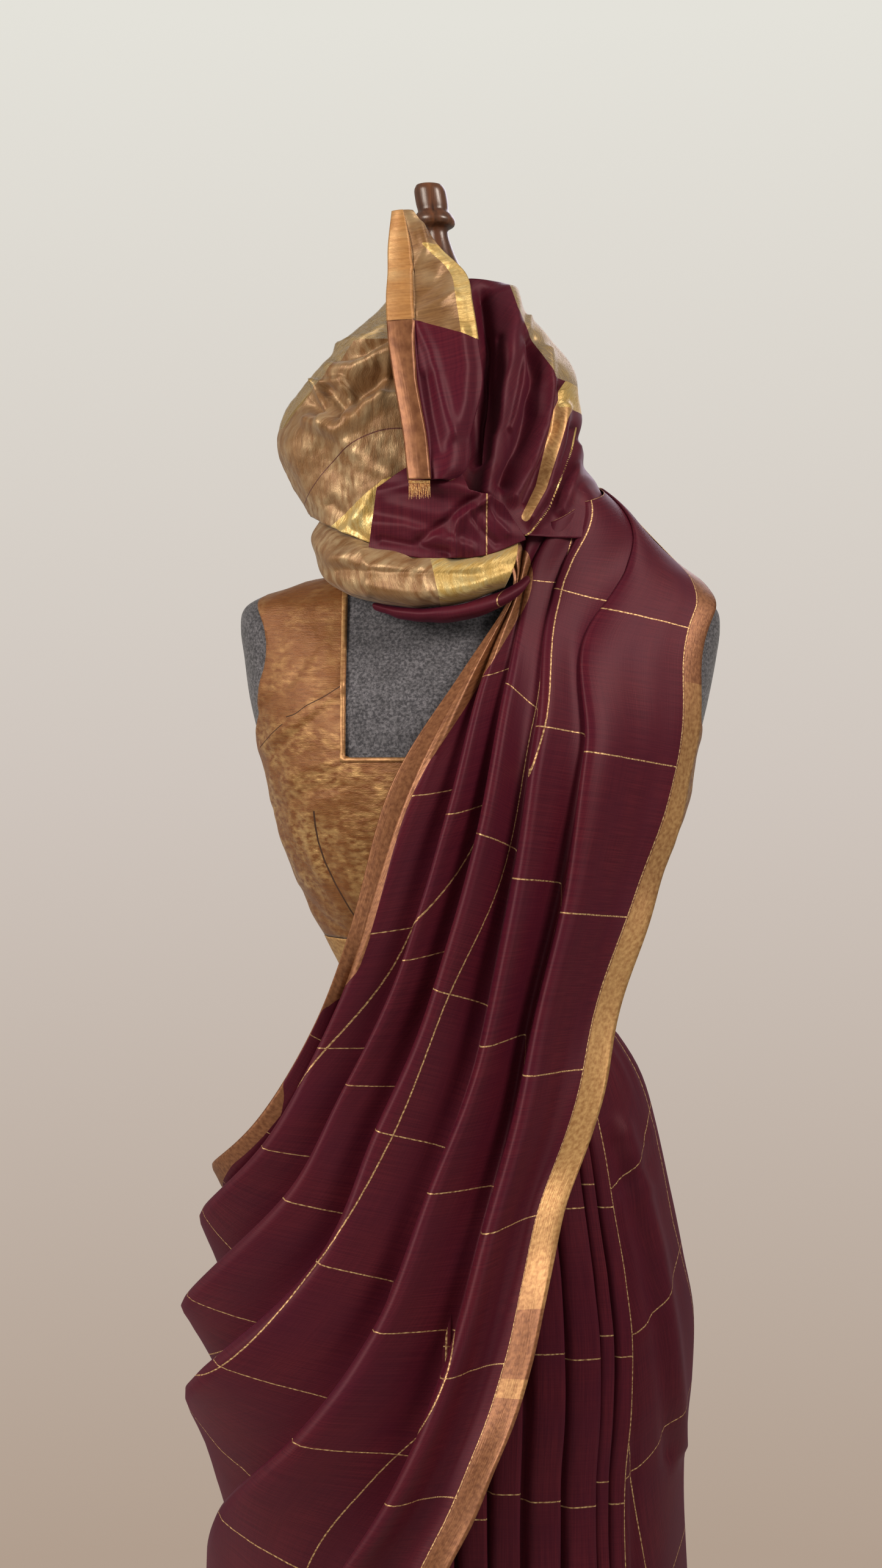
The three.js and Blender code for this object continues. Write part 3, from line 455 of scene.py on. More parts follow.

# Zari border: gold-wrapped copper warps packed side by side, in ribs 0.9 mm apart with a low gleam. Its colour
# is painted light and shade: lit gold where the warps would face the light and more copper where they would
# turn away, in patches about 320 by 200 mm. It is made again in shaded copper throughout for the stretches
# that turn away.
def border_cloth(name, shaded_throughout):
    """The border's zari, painted lit gold and shaded copper in turn along its length, or shaded copper
    throughout.
    """
    material, tree, out = new_material(name)
    along, across = cloth_place(tree)
    ribs = stretched_noise(tree, along, across, 12, 0.9)
    wear = stretched_noise(tree, along, across, 4, 3, detail=6.0)
    lit_lay = stretched_noise(tree, along, across, 320, 200)
    copper = add_node(tree, "ShaderNodeValToRGB", {}, {0: wear}, stops=shades("#6e3f29", "#8f5a3d"))
    gold = add_node(tree, "ShaderNodeValToRGB", {}, {0: wear}, stops=shades("#a8794a", "#cfa46c"))
    lit_share = 0.12
    if not shaded_throughout:
        lit_share = add_node(
            tree, "ShaderNodeValToRGB", {}, {0: lit_lay}, stops=shades("#a8a8a8", "#ffffff", 0.38, 0.54)
        ).outputs[0]
    colour = add_node(
        tree, "ShaderNodeMix", {"data_type": "RGBA"}, {0: lit_share, 6: copper.outputs[0], 7: gold.outputs[0]}
    )
    bump = add_node(tree, "ShaderNodeBump", {}, {"Strength": 0.3, "Distance": 0.0004, "Height": ribs})
    thread_way = add_node(tree, "ShaderNodeTangent", {"direction_type": "UV_MAP", "uv_map": "cloth"})
    shade = add_node(
        tree, "ShaderNodeBsdfPrincipled", {},
        {
            "Base Color": colour.outputs[2], "Normal": bump.outputs[0], "Tangent": thread_way.outputs[0],
            "Metallic": 0.4, "Roughness": 0.43, "Anisotropic": 0.5,
        },
    )
    tree.links.new(shade.outputs[0], out.inputs[0])
    return material


zari_border = border_cloth("zari_border_lit_and_shaded", shaded_throughout=False)
shaded_copper_border = border_cloth("zari_border_shaded_copper", shaded_throughout=True)
SKIRT = [  # height, centre, half width, front, back
    (1045, 4, 107, 83, 75), (1028, 4, 123, 93, 86), (997, 4, 142, 104, 97), (954, 3, 156, 116, 108),
    (900, 2, 168, 126, 118), (848, 1, 180, 133, 124), (800, 0, 190, 137, 129), (745, 0, 189, 138, 131),
    (692, 0, 182, 137, 131), (600, 0, 184, 139, 133), (300, 0, 203, 149, 145), (14, 0, 226, 160, 158),
]
HEM_MM = 14
WAIST_MM = 1045
SKIRT_FOLDS = 12
SKIRT_FOLD_DEPTH_MM = 9
HEIGHT_TO_WIDTH = [(14, 0.0), (683, 0.645), (797, 0.770), (912, 0.895), (1045, 1.035)]  # in mm, in metres


def across_at(height):
    """How far across the cloth, in metres from its hem, a height on the skirt is."""
    table = np.array(HEIGHT_TO_WIDTH)
    return np.interp(height, table[:, 0], table[:, 1])


def arc_lengths(points):
    """Length along each row of a grid of points, in metres."""
    steps = np.linalg.norm(np.diff(points, axis=1), axis=-1) * MM
    return np.concatenate([np.zeros((len(points), 1)), np.cumsum(steps, axis=1)], axis=1)


def distance_to_line(points, line):
    """Distance in mm, as seen from the front, from points to a line through (x, height) places."""
    seen = np.stack([points[..., 0], points[..., 2]], axis=-1)
    nearest = np.full(seen.shape[:-1], 1e9)
    for start, end in zip(line[:-1], line[1:]):
        a, b = np.array(start, float), np.array(end, float)
        along_line = np.clip(((seen - a) @ (b - a)) / ((b - a) @ (b - a)), 0, 1)
        nearest = np.minimum(nearest, np.linalg.norm(seen - a - along_line[..., None] * (b - a), axis=-1))
    return nearest


def normals_of(points, ring=False):
    """Unit normals of a grid of points."""
    along = np.gradient(points, axis=0)
    if ring:
        wrapped = np.concatenate([points[:, -1:], points, points[:, :1]], axis=1)
        across = np.gradient(wrapped, axis=1)[:, 1:-1]
    else:
        across = np.gradient(points, axis=1)
    normal = np.cross(across, along)
    return normal / np.maximum(np.linalg.norm(normal, axis=-1, keepdims=True), 1e-9)


def pushed(points, push, ring=False):
    """A grid of points moved along their normals, by push in mm."""
    return points + normals_of(points, ring) * push[..., None]


def blotches(points, size_mm, seed):
    """Smooth, seeded unevenness from about -1 to 1 at points in mm, as broad as size_mm."""
    draw = np.random.default_rng(seed)
    total = np.zeros(points.shape[:-1])
    for _ in range(7):
        direction = draw.normal(size=3)
        direction /= np.linalg.norm(direction)
        waves = points @ direction * (2 * math.pi / (size_mm * draw.uniform(0.7, 1.6)))
        total += np.sin(waves + draw.uniform(0, 6.28))
    return total / 4.0


def creased(points, table, ring=False):
    """The points raised in a ridge or sunk in a furrow along each line of a table of (width, rise, line)."""
    normal = normals_of(points, ring)
    outwards = np.sum(normal * (points * [1, 1, 0]), axis=-1, keepdims=True)
    normal = normal * np.sign(outwards + 1e-9)
    push = np.zeros(points.shape[:-1])
    for width, rise, line in table:
        push += rise * np.exp(-((distance_to_line(points, line) / width) ** 2))
    push = push * np.clip((20 - points[..., 1]) / 30, 0, 1)  # the lines lie on the front alone
    return points + normal * push[..., None]


# The tucked edge over the wearer's left hip, and the loose fold beyond it.
SKIRT_CREASES = [  # width, rise, line through (x, height)
    (3.0, -3.0, [(117, 912), (125, 851), (130, 738), (132, 601)]),
    (4.0, 2.2, [(111, 912), (119, 851), (124, 738), (126, 601)]),
    (7.0, 5.5, [(126, 960), (139, 915), (153, 862), (165, 791), (171, 738), (175, 690)]),
    (5.5, -4.5, [(115, 950), (128, 915), (142, 862), (154, 791), (160, 738), (164, 690)]),
    (4.0, 1.8, [(112, 930), (132, 938), (150, 950)]),
    (4.0, -1.5, [(114, 918), (136, 924), (152, 936)]),
    (4.0, 1.6, [(118, 902), (138, 906), (156, 914)]),
    (5.0, 1.6, [(126, 790), (140, 800), (158, 806)]),
]
LEVEL_RISE = [  # turn, metres that the check's level lines climb over the hip
    (0, 0), (39, 0), (52, 0.015), (66, 0.045), (82, 0.062), (105, 0.056), (140, 0.03), (180, 0.008),
    (220, 0), (360, 0),
]
UPRIGHT_LEAN_M = 0.0439  # how far its upright lines lean in over the hip
LEAN_MM = (600, 811)  # where that begins, and where it has come this far
LEAN_TURN = (70, 100)  # the whole lean up to the first, none from the second
CLOTH_M_PER_TURN = 0.26 * 6.2832 * 0.72  # one turn of the skirt along the cloth
SKIRT_START_M = 0.08
WAIST_GATHERS = {"height": 1010, "spread": 22, "count": 46, "deep": 0.7}
HEM_ROWS = [HEM_MM, HEM_MM + 5, HEM_MM + 10, HEM_MM + 15, HEM_MM + 18.8]  # across the border at the hem
ABOVE_BORDER_MM = HEM_MM + 28
heights = np.array(HEM_ROWS + list(np.linspace(ABOVE_BORDER_MM, WAIST_MM, 120)))
turns = np.linspace(0, 360, 216, endpoint=False)
turn, height = np.meshgrid(turns, heights)
fall = 1 - (height - HEM_MM) / (WAIST_MM - HEM_MM)
uneven = 0.65 + 0.35 * np.sin(np.radians(turn * 3 + 40))
wave = np.cos(np.radians(turn) * SKIRT_FOLDS) - 1
gathers = np.cos(np.radians(turn) * WAIST_GATHERS["count"] + 2 * np.sin(np.radians(turn * 3))) - 1
gathers = gathers * np.exp(-(((height - WAIST_GATHERS["height"]) / WAIST_GATHERS["spread"]) ** 2))
folds = SKIRT_FOLD_DEPTH_MM * fall * uneven * wave / 2
skirt_points = on_figure(SKIRT, turn, height, folds + WAIST_GATHERS["deep"] * gathers)
calm = np.clip((height - HEM_MM) / 60, 0, 1) * np.clip((WAIST_MM - height) / 40, 0, 1)
skirt_points = pushed(skirt_points, calm * (blotches(skirt_points, 90, 11) * 0.7 - 0.5), ring=True)
skirt_points = creased(skirt_points, SKIRT_CREASES, ring=True)
slant = read_table(LEVEL_RISE, turn)[..., 0]
lean = UPRIGHT_LEAN_M * np.clip((height - LEAN_MM[0]) / (LEAN_MM[1] - LEAN_MM[0]), 0, 1.3)
lean = lean * np.clip((LEAN_TURN[1] - turn) / (LEAN_TURN[1] - LEAN_TURN[0]), 0, 1)
skirt_along = CLOTH_M_PER_TURN * turn / 360 + SKIRT_START_M + lean
skirt_uv = np.stack([skirt_along, across_at(height) - slant], axis=-1)
zones = np.zeros((len(heights) - 1, len(turns)), int)
zones[: len(HEM_ROWS) - 1] = 1
skirt = grid_object(
    "saree_skirt_cloth", skirt_points, [maroon_silk, zari_border], ring=True, uv=skirt_uv, zones=zones,
    thickness=SILK_THICKNESS_MM,
)
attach(skirt, "root")
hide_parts("saree_skirt")

# ---------------------------------------------------------------------------
# The front pleats
# Nine knife pleats of the same silk, folded side by side, tucked in at the waist, and pressed by hand: each
# shows its right-hand edge over the next, soft at the top and sharper where it falls free.
# ---------------------------------------------------------------------------
PLEAT_EDGES = [-17, -11, -4, 4, 12, 21, 30, 34, 39]  # turn of each folded edge
PLEAT_LEFT_END = -23
PLEAT_TOP_MM = 1036
PLEAT_HEIGHT_MM = 12.5
PLEAT_SEAT_MM = 3.1
PLEAT_SECTION = [  # over, rise: across one pleat, from under the pleat before it to its own folded edge
    (-0.05, 0.0), (0.03, 0.0), (0.1, 0.1), (0.16, 0.42), (0.22, 0.68), (0.32, 0.84), (0.5, 0.92), (0.7, 0.97),
    (0.86, 1.0), (0.95, 1.0), (1.0, 0.86), (0.995, 0.5), (0.96, 0.1),
]
PLEAT_CLOTH_M = 0.2296  # along the cloth from one pleat to the next
FIRST_PLEAT_M = 0.026
SKIRT_M_PER_DEGREE = 0.0026
PLEAT_DROP_M = 0.011  # how unevenly the pleats were laid on each other

heights = np.array(HEM_ROWS + list(np.linspace(ABOVE_BORDER_MM, PLEAT_TOP_MM, 110)))
rows = []
lengths = []
for number, edge in enumerate(PLEAT_EDGES):
    start = PLEAT_LEFT_END if number == 0 else PLEAT_EDGES[number - 1]
    for over, rise in PLEAT_SECTION:
        swing = 0.5 * np.sin(heights / 150 + number * 1.7) * np.clip((PLEAT_TOP_MM - heights) / 300, 0, 1)
        opened = np.clip((PLEAT_TOP_MM - heights) / 180, 0.25, 1)
        stands = PLEAT_SEAT_MM + rise * PLEAT_HEIGHT_MM * opened
        rows.append(on_figure(SKIRT, start + (edge - start) * over + swing, heights, stands))
        length = FIRST_PLEAT_M + number * PLEAT_CLOTH_M + over * (edge - start) * SKIRT_M_PER_DEGREE
        lengths.append(np.full(len(heights), length))
pleat_points = np.stack(rows, axis=1)
pleat_across = np.repeat(across_at(heights)[:, None], pleat_points.shape[1], axis=1)
pleat_uv = np.stack([np.stack(lengths, axis=1), pleat_across], axis=-1)
drop = PLEAT_DROP_M * np.sin(np.arange(len(PLEAT_EDGES)) * 2.4 + 0.6)
above_hem = np.clip((heights[:, None] - 60) / 200, 0, 1)
pleat_uv[..., 1] += np.repeat(drop, len(PLEAT_SECTION))[None, :] * above_hem
calm = np.clip((heights - HEM_MM) / 60, 0, 1)[:, None]
pleat_points = pushed(pleat_points, calm * blotches(pleat_points * [1, 1, 0.35], 34, 21) * 0.35)
zones = np.zeros((len(heights) - 1, pleat_points.shape[1] - 1), int)
zones[: len(HEM_ROWS) - 1] = 1
pleats = grid_object(
    "saree_front_pleats_cloth", pleat_points, [maroon_silk, zari_border], uv=pleat_uv, zones=zones,
    thickness=SILK_THICKNESS_MM,
)
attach(pleats, "root")
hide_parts("saree_front_pleats")

# ---------------------------------------------------------------------------
# The front drape
# One stretch of the saree, folded into six knife pleats on the wearer's left shoulder, fanned across the
# body, sagging over the right hip and drawn flat round the back. Both its zari borders show, the upper one
# all but turned under at the waist.
# ---------------------------------------------------------------------------
def grid_cloth(points, uv):
    """A grid of points as loose parts: points, their place in the cloth, faces, and a zone for each face."""
    faces = [tuple(face) for face in grid_faces(*points.shape[:2])]
    places = uv.reshape(-1, uv.shape[-1])
    return {"points": points.reshape(-1, 3), "uv": places, "faces": faces, "zone": [0] * len(faces)}


def cut(cloth, field, zone=None, keep=False):
    """Cuts the faces where field(points) is zero, and gives its plus side a zone, or keeps it alone."""
    value = np.asarray(field(cloth["points"]), float)
    value = np.where(np.abs(value) < 1e-4, 1e-4, value)
    points, places = list(cloth["points"]), list(cloth["uv"])
    crossings = {}
    faces, zones = [], []
    for face, old in zip(cloth["faces"], cloth["zone"]):
        inside = [value[v] > 0 for v in face]
        if all(inside) or not any(inside):
            parts = {all(inside): list(face)}
        else:
            parts = {True: [], False: []}
            for a, b, in_a, in_b in zip(face, face[1:] + face[:1], inside, inside[1:] + inside[:1]):
                parts[in_a].append(a)
                if in_a != in_b:
                    key = (min(a, b), max(a, b))
                    if key not in crossings:
                        t = value[key[0]] / (value[key[0]] - value[key[1]])
                        crossings[key] = len(points)
                        points.append(cloth["points"][key[0]] * (1 - t) + cloth["points"][key[1]] * t)
                        places.append(cloth["uv"][key[0]] * (1 - t) + cloth["uv"][key[1]] * t)
                    parts[True].append(crossings[key])
                    parts[False].append(crossings[key])
        for side, part in parts.items():
            if len(part) >= 3 and (side or not keep):
                faces.append(tuple(part))
                zones.append(zone if side and zone is not None else old)
    return {"points": np.array(points), "uv": np.array(places), "faces": faces, "zone": zones}


def cloth_object(name, cloth, materials, thickness):
    """A mesh object from loose parts, with the points that no face uses left out."""
    used = sorted({v for face in cloth["faces"] for v in face})
    number = {v: i for i, v in enumerate(used)}
    faces = [[number[v] for v in face] for face in cloth["faces"]]
    corners = cloth["uv"][[v for face in cloth["faces"] for v in face], :2]
    return mesh_object(name, cloth["points"][used], faces, materials, corners, cloth["zone"], thickness)


DRAPED = [  # height, centre, half width, front, back
    (15, 0, 230, 172, 160.5), (300, 0, 208, 162, 148), (600, 0, 192, 153, 137), (770, 0, 198, 151, 136),
    (850, 2, 186, 147, 130), (950, 4, 168, 139, 115), (1050, 6, 153, 135, 100), (1150, 9, 171, 138, 99),
    (1250, 10, 191, 136, 102), (1330, 11, 204, 109, 98), (1380, 11, 206, 82, 86), (1405, 11, 184, 73, 76),
    (1422, 11, 163, 71, 74), (1444, 11, 141, 71, 72), (1472, 11, 114, 73, 70), (1491, 11, 92, 75, 68),
]
# A row every 125 mm along the cloth, from the shoulder: turn and height of the upper border, the five folds
# and the lower border, then how far the cloth is lifted off the figure and how deep its pleats are.
DRAPE = [
    (0, 5, 1424, 8, 1430, 14, 1438, 24, 1450, 44, 1468, 87, 1486, 89.6, 1419, 4.2, 4),
    (1, 7, 1396, 8, 1399, 9, 1402, 11, 1402, 17, 1395, 27, 1379, 59, 1361, 7, 5),
    (2, -5, 1323, -3, 1324, 0, 1322, 5, 1317, 12, 1283, 24, 1263, 59, 1249, 9, 7),
    (3, -21, 1234, -17, 1228, -8, 1214, -1, 1200, 8, 1165, 21, 1138, 49, 1131, 12, 9),
    (4, -34, 1126, -31, 1120, -20, 1101, -12, 1080, 1, 1035, 13, 1012, 38, 1015, 15, 11),
    (5, -49, 1040, -46, 1030, -35, 1004, -25, 971, -11, 924, 2, 893, 21, 909, 21, 14),
    (6, -64, 965, -58, 950, -47, 914, -35, 870, -20, 821, -6, 787, 12, 798, 31, 17),
    (7, -82, 925, -80, 894, -79, 822, -58, 784, -35, 735, -16, 694, 2, 698, 43, 19),
    (8, -104, 915, -104, 880, -104, 800, -86, 735, -62, 660, -36, 585, -14, 570, 34, 16),
    (9, -130, 945, -130, 900, -130, 810, -118, 700, -97, 560, -70, 420, -44, 365, 18, 11),
    (10, -156, 990, -156, 930, -156, 815, -148, 680, -134, 500, -110, 285, -92, 135, 9, 6),
    (11, -182, 1022, -182, 940, -182, 815, -179, 660, -172, 450, -156, 175, -146, 24, 5, 3),
    (12, -206, 1034, -206, 945, -206, 810, -206, 640, -205, 420, -202, 170, -196, 17, 1.3, 0.4),
]
# Which thread of the cloth lies on each fold, in mm from the lower selvedge.
DRAPE_THREADS = [  # row, upper, five folds, lower
    (0, 1080, 840, 800, 545, 275, 120, 0), (1, 1080, 840, 800, 550, 275, 112, 0),
    (2, 1080, 835, 803, 560, 275, 120, 0), (3, 1080, 815, 800, 555, 257, 112, 0),
    (4, 1080, 800, 760, 535, 255, 112, 0), (5, 1080, 778, 735, 537, 250, 125, 0),
    (6, 1080, 765, 725, 525, 235, 150, 0), (7, 1080, 770, 715, 534, 212, 132, 0),
    (8, 1080, 860, 700, 500, 240, 110, 0), (9, 1080, 900, 720, 530, 330, 140, 0),
    (10, 1080, 950, 780, 600, 400, 155, 0), (11, 1080, 985, 842, 662, 428, 162, 0),
    (12, 1080, 985, 842, 662, 428, 162, 0),
]
PANELS = 6
LOWER_BORDER_COLUMNS = 7
# Across one pleat, from under its folded edge, over it and down beneath the next.
KNIFE_SECTION = [  # over, sunk
    (0.035, 0.8), (0.008, 0.62), (0.0, 0.38), (0.012, 0.14), (0.05, 0.02), (0.12, 0.0), (0.2, 0.05),
    (0.3, 0.15), (0.4, 0.28), (0.5, 0.43), (0.6, 0.58), (0.7, 0.73), (0.8, 0.85), (0.9, 0.92), (0.97, 0.94),
    (1.03, 0.93),
]
FOLD_ROWS = 6  # the first rows of the section, which round the folded edge as far as FOLD_OVER
FOLD_OVER = 0.12
OPEN_HOLLOW = 0.62  # how far the open panel sinks beyond its fold
# Painted light and shade: between these rows the lower border is the lit gold, and elsewhere it is the shaded
# copper.
LIT_GOLD_ROWS = [(1.4, 5.6), (6.08, 6.22)]  # rows between which the lower border shows gold
STATIONS = np.concatenate([np.linspace(0, 8, 170), np.linspace(8, 12, 61)[1:]])
drape_table = read_table(DRAPE, STATIONS)
threads = read_table(DRAPE_THREADS, STATIONS)
lift, depth = drape_table[:, -2], drape_table[:, -1]
deepened = np.clip((STATIONS - 1) / 1.5, 0, 1) * np.clip((9.5 - STATIONS) / 1.5, 0, 1)
UNDERLAP_SHIFT = [  # row, mm that each pleat has slid on the one below
    (0, 0.0), (1, 8.0), (2, 16.0), (3, 24.0), (4, 32.0), (5, 37.0), (7, 37.0), (8.5, 22.0), (10, 0.0),
    (12, 0.0),
]
underlap_shift = np.interp(STATIONS, *np.array(UNDERLAP_SHIFT).T)

# over the chest the first fold lies flat, and the border beside it shows whole
first_fold = 1 - 0.92 * np.clip((STATIONS - 0.5) / 0.5, 0, 1) * np.clip((4.7 - STATIONS) / 0.7, 0, 1)
PANEL_DEPTH = [0.0, 0.35, 0.45, 0.7, 0.95, 0.2]  # how much deeper each pleat is over the midriff
CREST_MM = 2.5  # the roll of cloth just inside a folded edge
CREST_AT = 0.13


def drape_column(panel, over, sunk):
    """Points down the drape's length at one place across one of its pleats."""
    turn = drape_table[:, 2 * panel] * (1 - over) + drape_table[:, 2 * panel + 2] * over
    height = drape_table[:, 2 * panel + 1] * (1 - over) + drape_table[:, 2 * panel + 3] * over
    deeper = PANEL_DEPTH[panel]
    extra = np.interp(STATIONS, [1.5, 3, 4, 5, 6, 8, 10], [0, deeper, deeper, 0.4, 0.45, 0.35, 0])
    crest = CREST_MM * np.exp(-(((over - CREST_AT) / CREST_AT) ** 2)) if 0 < panel < PANELS - 1 else 0.0
    if panel == 0 or (panel == 1 and np.max(over) < 0.15):
        crest, sunk = crest * first_fold, sunk * first_fold
    off_figure = lift + crest * deepened - depth * sunk * (1 + 0.35 * deepened + extra)
    return on_figure(DRAPED, turn, height, off_figure)


across_panel = []  # each panel's width along its own surface, in mm, at each station
for panel in range(PANELS):
    line = np.stack([drape_column(panel, over, 0.0) for over in np.linspace(0, 1, 9)], axis=1)
    across_panel.append(arc_lengths(line)[:, -1] / MM)

columns = []
column_threads = []
column_slides = []
column_seen = []
for panel in range(PANELS):
    wide = across_panel[panel]
    if panel == 0:
        section = [0 * wide + 1.02 * step / 16 for step in range(17)]
    elif panel == PANELS - 1:
        edge_part = 1 - np.minimum(0.5, BORDER_M / MM / wide)
        section = [0 * wide + over for over, _ in KNIFE_SECTION[:FOLD_ROWS]]
        section += [FOLD_OVER + (edge_part - FOLD_OVER) * step / 12 for step in range(1, 13)]
        steps = range(1, LOWER_BORDER_COLUMNS + 1)
        section += [edge_part + (1 - edge_part) * step / LOWER_BORDER_COLUMNS for step in steps]
    else:
        section = [0 * wide + over for over, _ in KNIFE_SECTION]
    for number, over in enumerate(section):
        if panel == PANELS - 1:
            # the last panel lies open: round at its fold, hollow beyond it, and out again at the selvedge
            folded = KNIFE_SECTION[number][1] if number < FOLD_ROWS else 0.0
            hollow = OPEN_HOLLOW * np.sin(math.pi * np.clip((over - FOLD_OVER) / 0.88, 0, 1)) ** 1.2
            sunk = np.where(over > FOLD_OVER, hollow, folded)
            blend = np.clip((over - 0.25) / 0.45, 0, 1)
            thread = (threads[:, PANELS - 1] - over * wide) * (1 - blend) + (1 - over) * wide * blend
        elif panel == 0:
            sunk = np.interp(over, [0, 0.1, 0.5, 0.85, 1.02], [0, 0.02, 0.3, 0.75, 0.9])
            thread = threads[:, 0] - over * wide
        else:
            sunk = KNIFE_SECTION[number][1] + 0 * wide
            thread = threads[:, panel] - np.clip(over, 0, 1.1) * wide
        slides = 0 < panel < PANELS - 1
        column_slides.append(underlap_shift * np.clip(over, 0, 1) * slides)
        columns.append(drape_column(panel, over, sunk))
        column_threads.append(thread)
        column_seen.append(sum(across_panel[:panel]) + np.clip(over, 0, 1) * wide)
drape_points = np.stack(columns, axis=1)
drape_threads = np.stack(column_threads, axis=1)

# soft unevenness along the folds, a loose wave in the lower border, and the slack of the sheet over the hip
station = STATIONS[:, None] + 0 * drape_threads
hung = np.clip((station - 0.4) / 1.2, 0, 1) * np.clip((11.6 - station) / 2.5, 0, 1)
rumple = blotches(np.stack([drape_threads * 1.6, station * 48, 0 * station], axis=-1), 70, 31) * 0.8
edge_wave = np.exp(-drape_threads / 26) * np.sin(station * 7.3 + 0.8 * np.sin(station * 2.6)) * 1.6
drape_points = pushed(drape_points, (rumple + edge_wave) * hung)
drape_uv = np.stack([station * CHECK_M + np.stack(column_slides, axis=1) * MM, drape_threads * MM], axis=-1)

# the lower border is the last columns of faces: painted light in lit gold over the body and for a thumb's
# breadth below it, and painted shade in copper elsewhere
gold = np.logical_or.reduce([(STATIONS[:-1] > start) & (STATIONS[:-1] < end) for start, end in LIT_GOLD_ROWS])
zones = np.zeros((len(STATIONS) - 1, drape_points.shape[1] - 1), int)
zones[:, -LOWER_BORDER_COLUMNS:] = np.where(gold, 1, 2)[:, None]

# the upper border, 19 mm from the selvedge, but turned under at the waist and nearly half turned below it
turned_under = np.clip((STATIONS - 4.25) / 0.5, 0, 1) * np.clip((5.75 - STATIONS) / 0.25, 0, 1)
shown = np.interp(STATIONS, [5.4, 5.7, 6.6, 7.2], [1, 0.55, 0.55, 1])
upper_border = BORDER_M * (1 - 0.97 * turned_under) * shown
seen = np.stack(column_seen, axis=1) * MM
drape_uv = np.concatenate([drape_uv, (upper_border[:, None] - seen)[..., None]], axis=-1)
drape_cloth = grid_cloth(drape_points, drape_uv)
drape_cloth["zone"] = list(zones.reshape(-1))
# The upper border is all the shaded copper: painted shade.
drape_cloth = cut(drape_cloth, lambda points: drape_cloth["uv"][:, 2], zone=2)
drape = cloth_object(
    "saree_front_drape_cloth", drape_cloth, [maroon_silk, zari_border, shaded_copper_border], SILK_THICKNESS_MM
)
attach(drape, "root")
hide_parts("saree_front_drape")

# ---------------------------------------------------------------------------
# The blouse
# Sleeveless, with a piped square neck, cut from the saree's own running length: ochre silk tissue with a
# gold weft, darted under the bust, seamed at the sides and shoulders. Below it, a border round the midriff.
# ---------------------------------------------------------------------------
BLOUSE_HEM_MM = 1112
BLOUSE_TOP_MM = 1412
NECK_HALF_WIDTH_MM = 98
NECK_BOTTOM_MM = 1259
BACK_NECK_BOTTOM_MM = 1335
ARMHOLE_MM = {
    "centre": 10, "height": 1336, "half_depth": 44, "half_height": 62, "from_centre": 120, "shoulder": 186,
    "foot": 1306,
}
BLOUSE_LIFT_MM = 2.2
BLOUSE_THICKNESS_MM = 0.6
BLOUSE_M_PER_DEGREE = 0.0031
# How far up the cloth the painted highlights' stops are spread.
GLINT_SPAN_M = 0.33
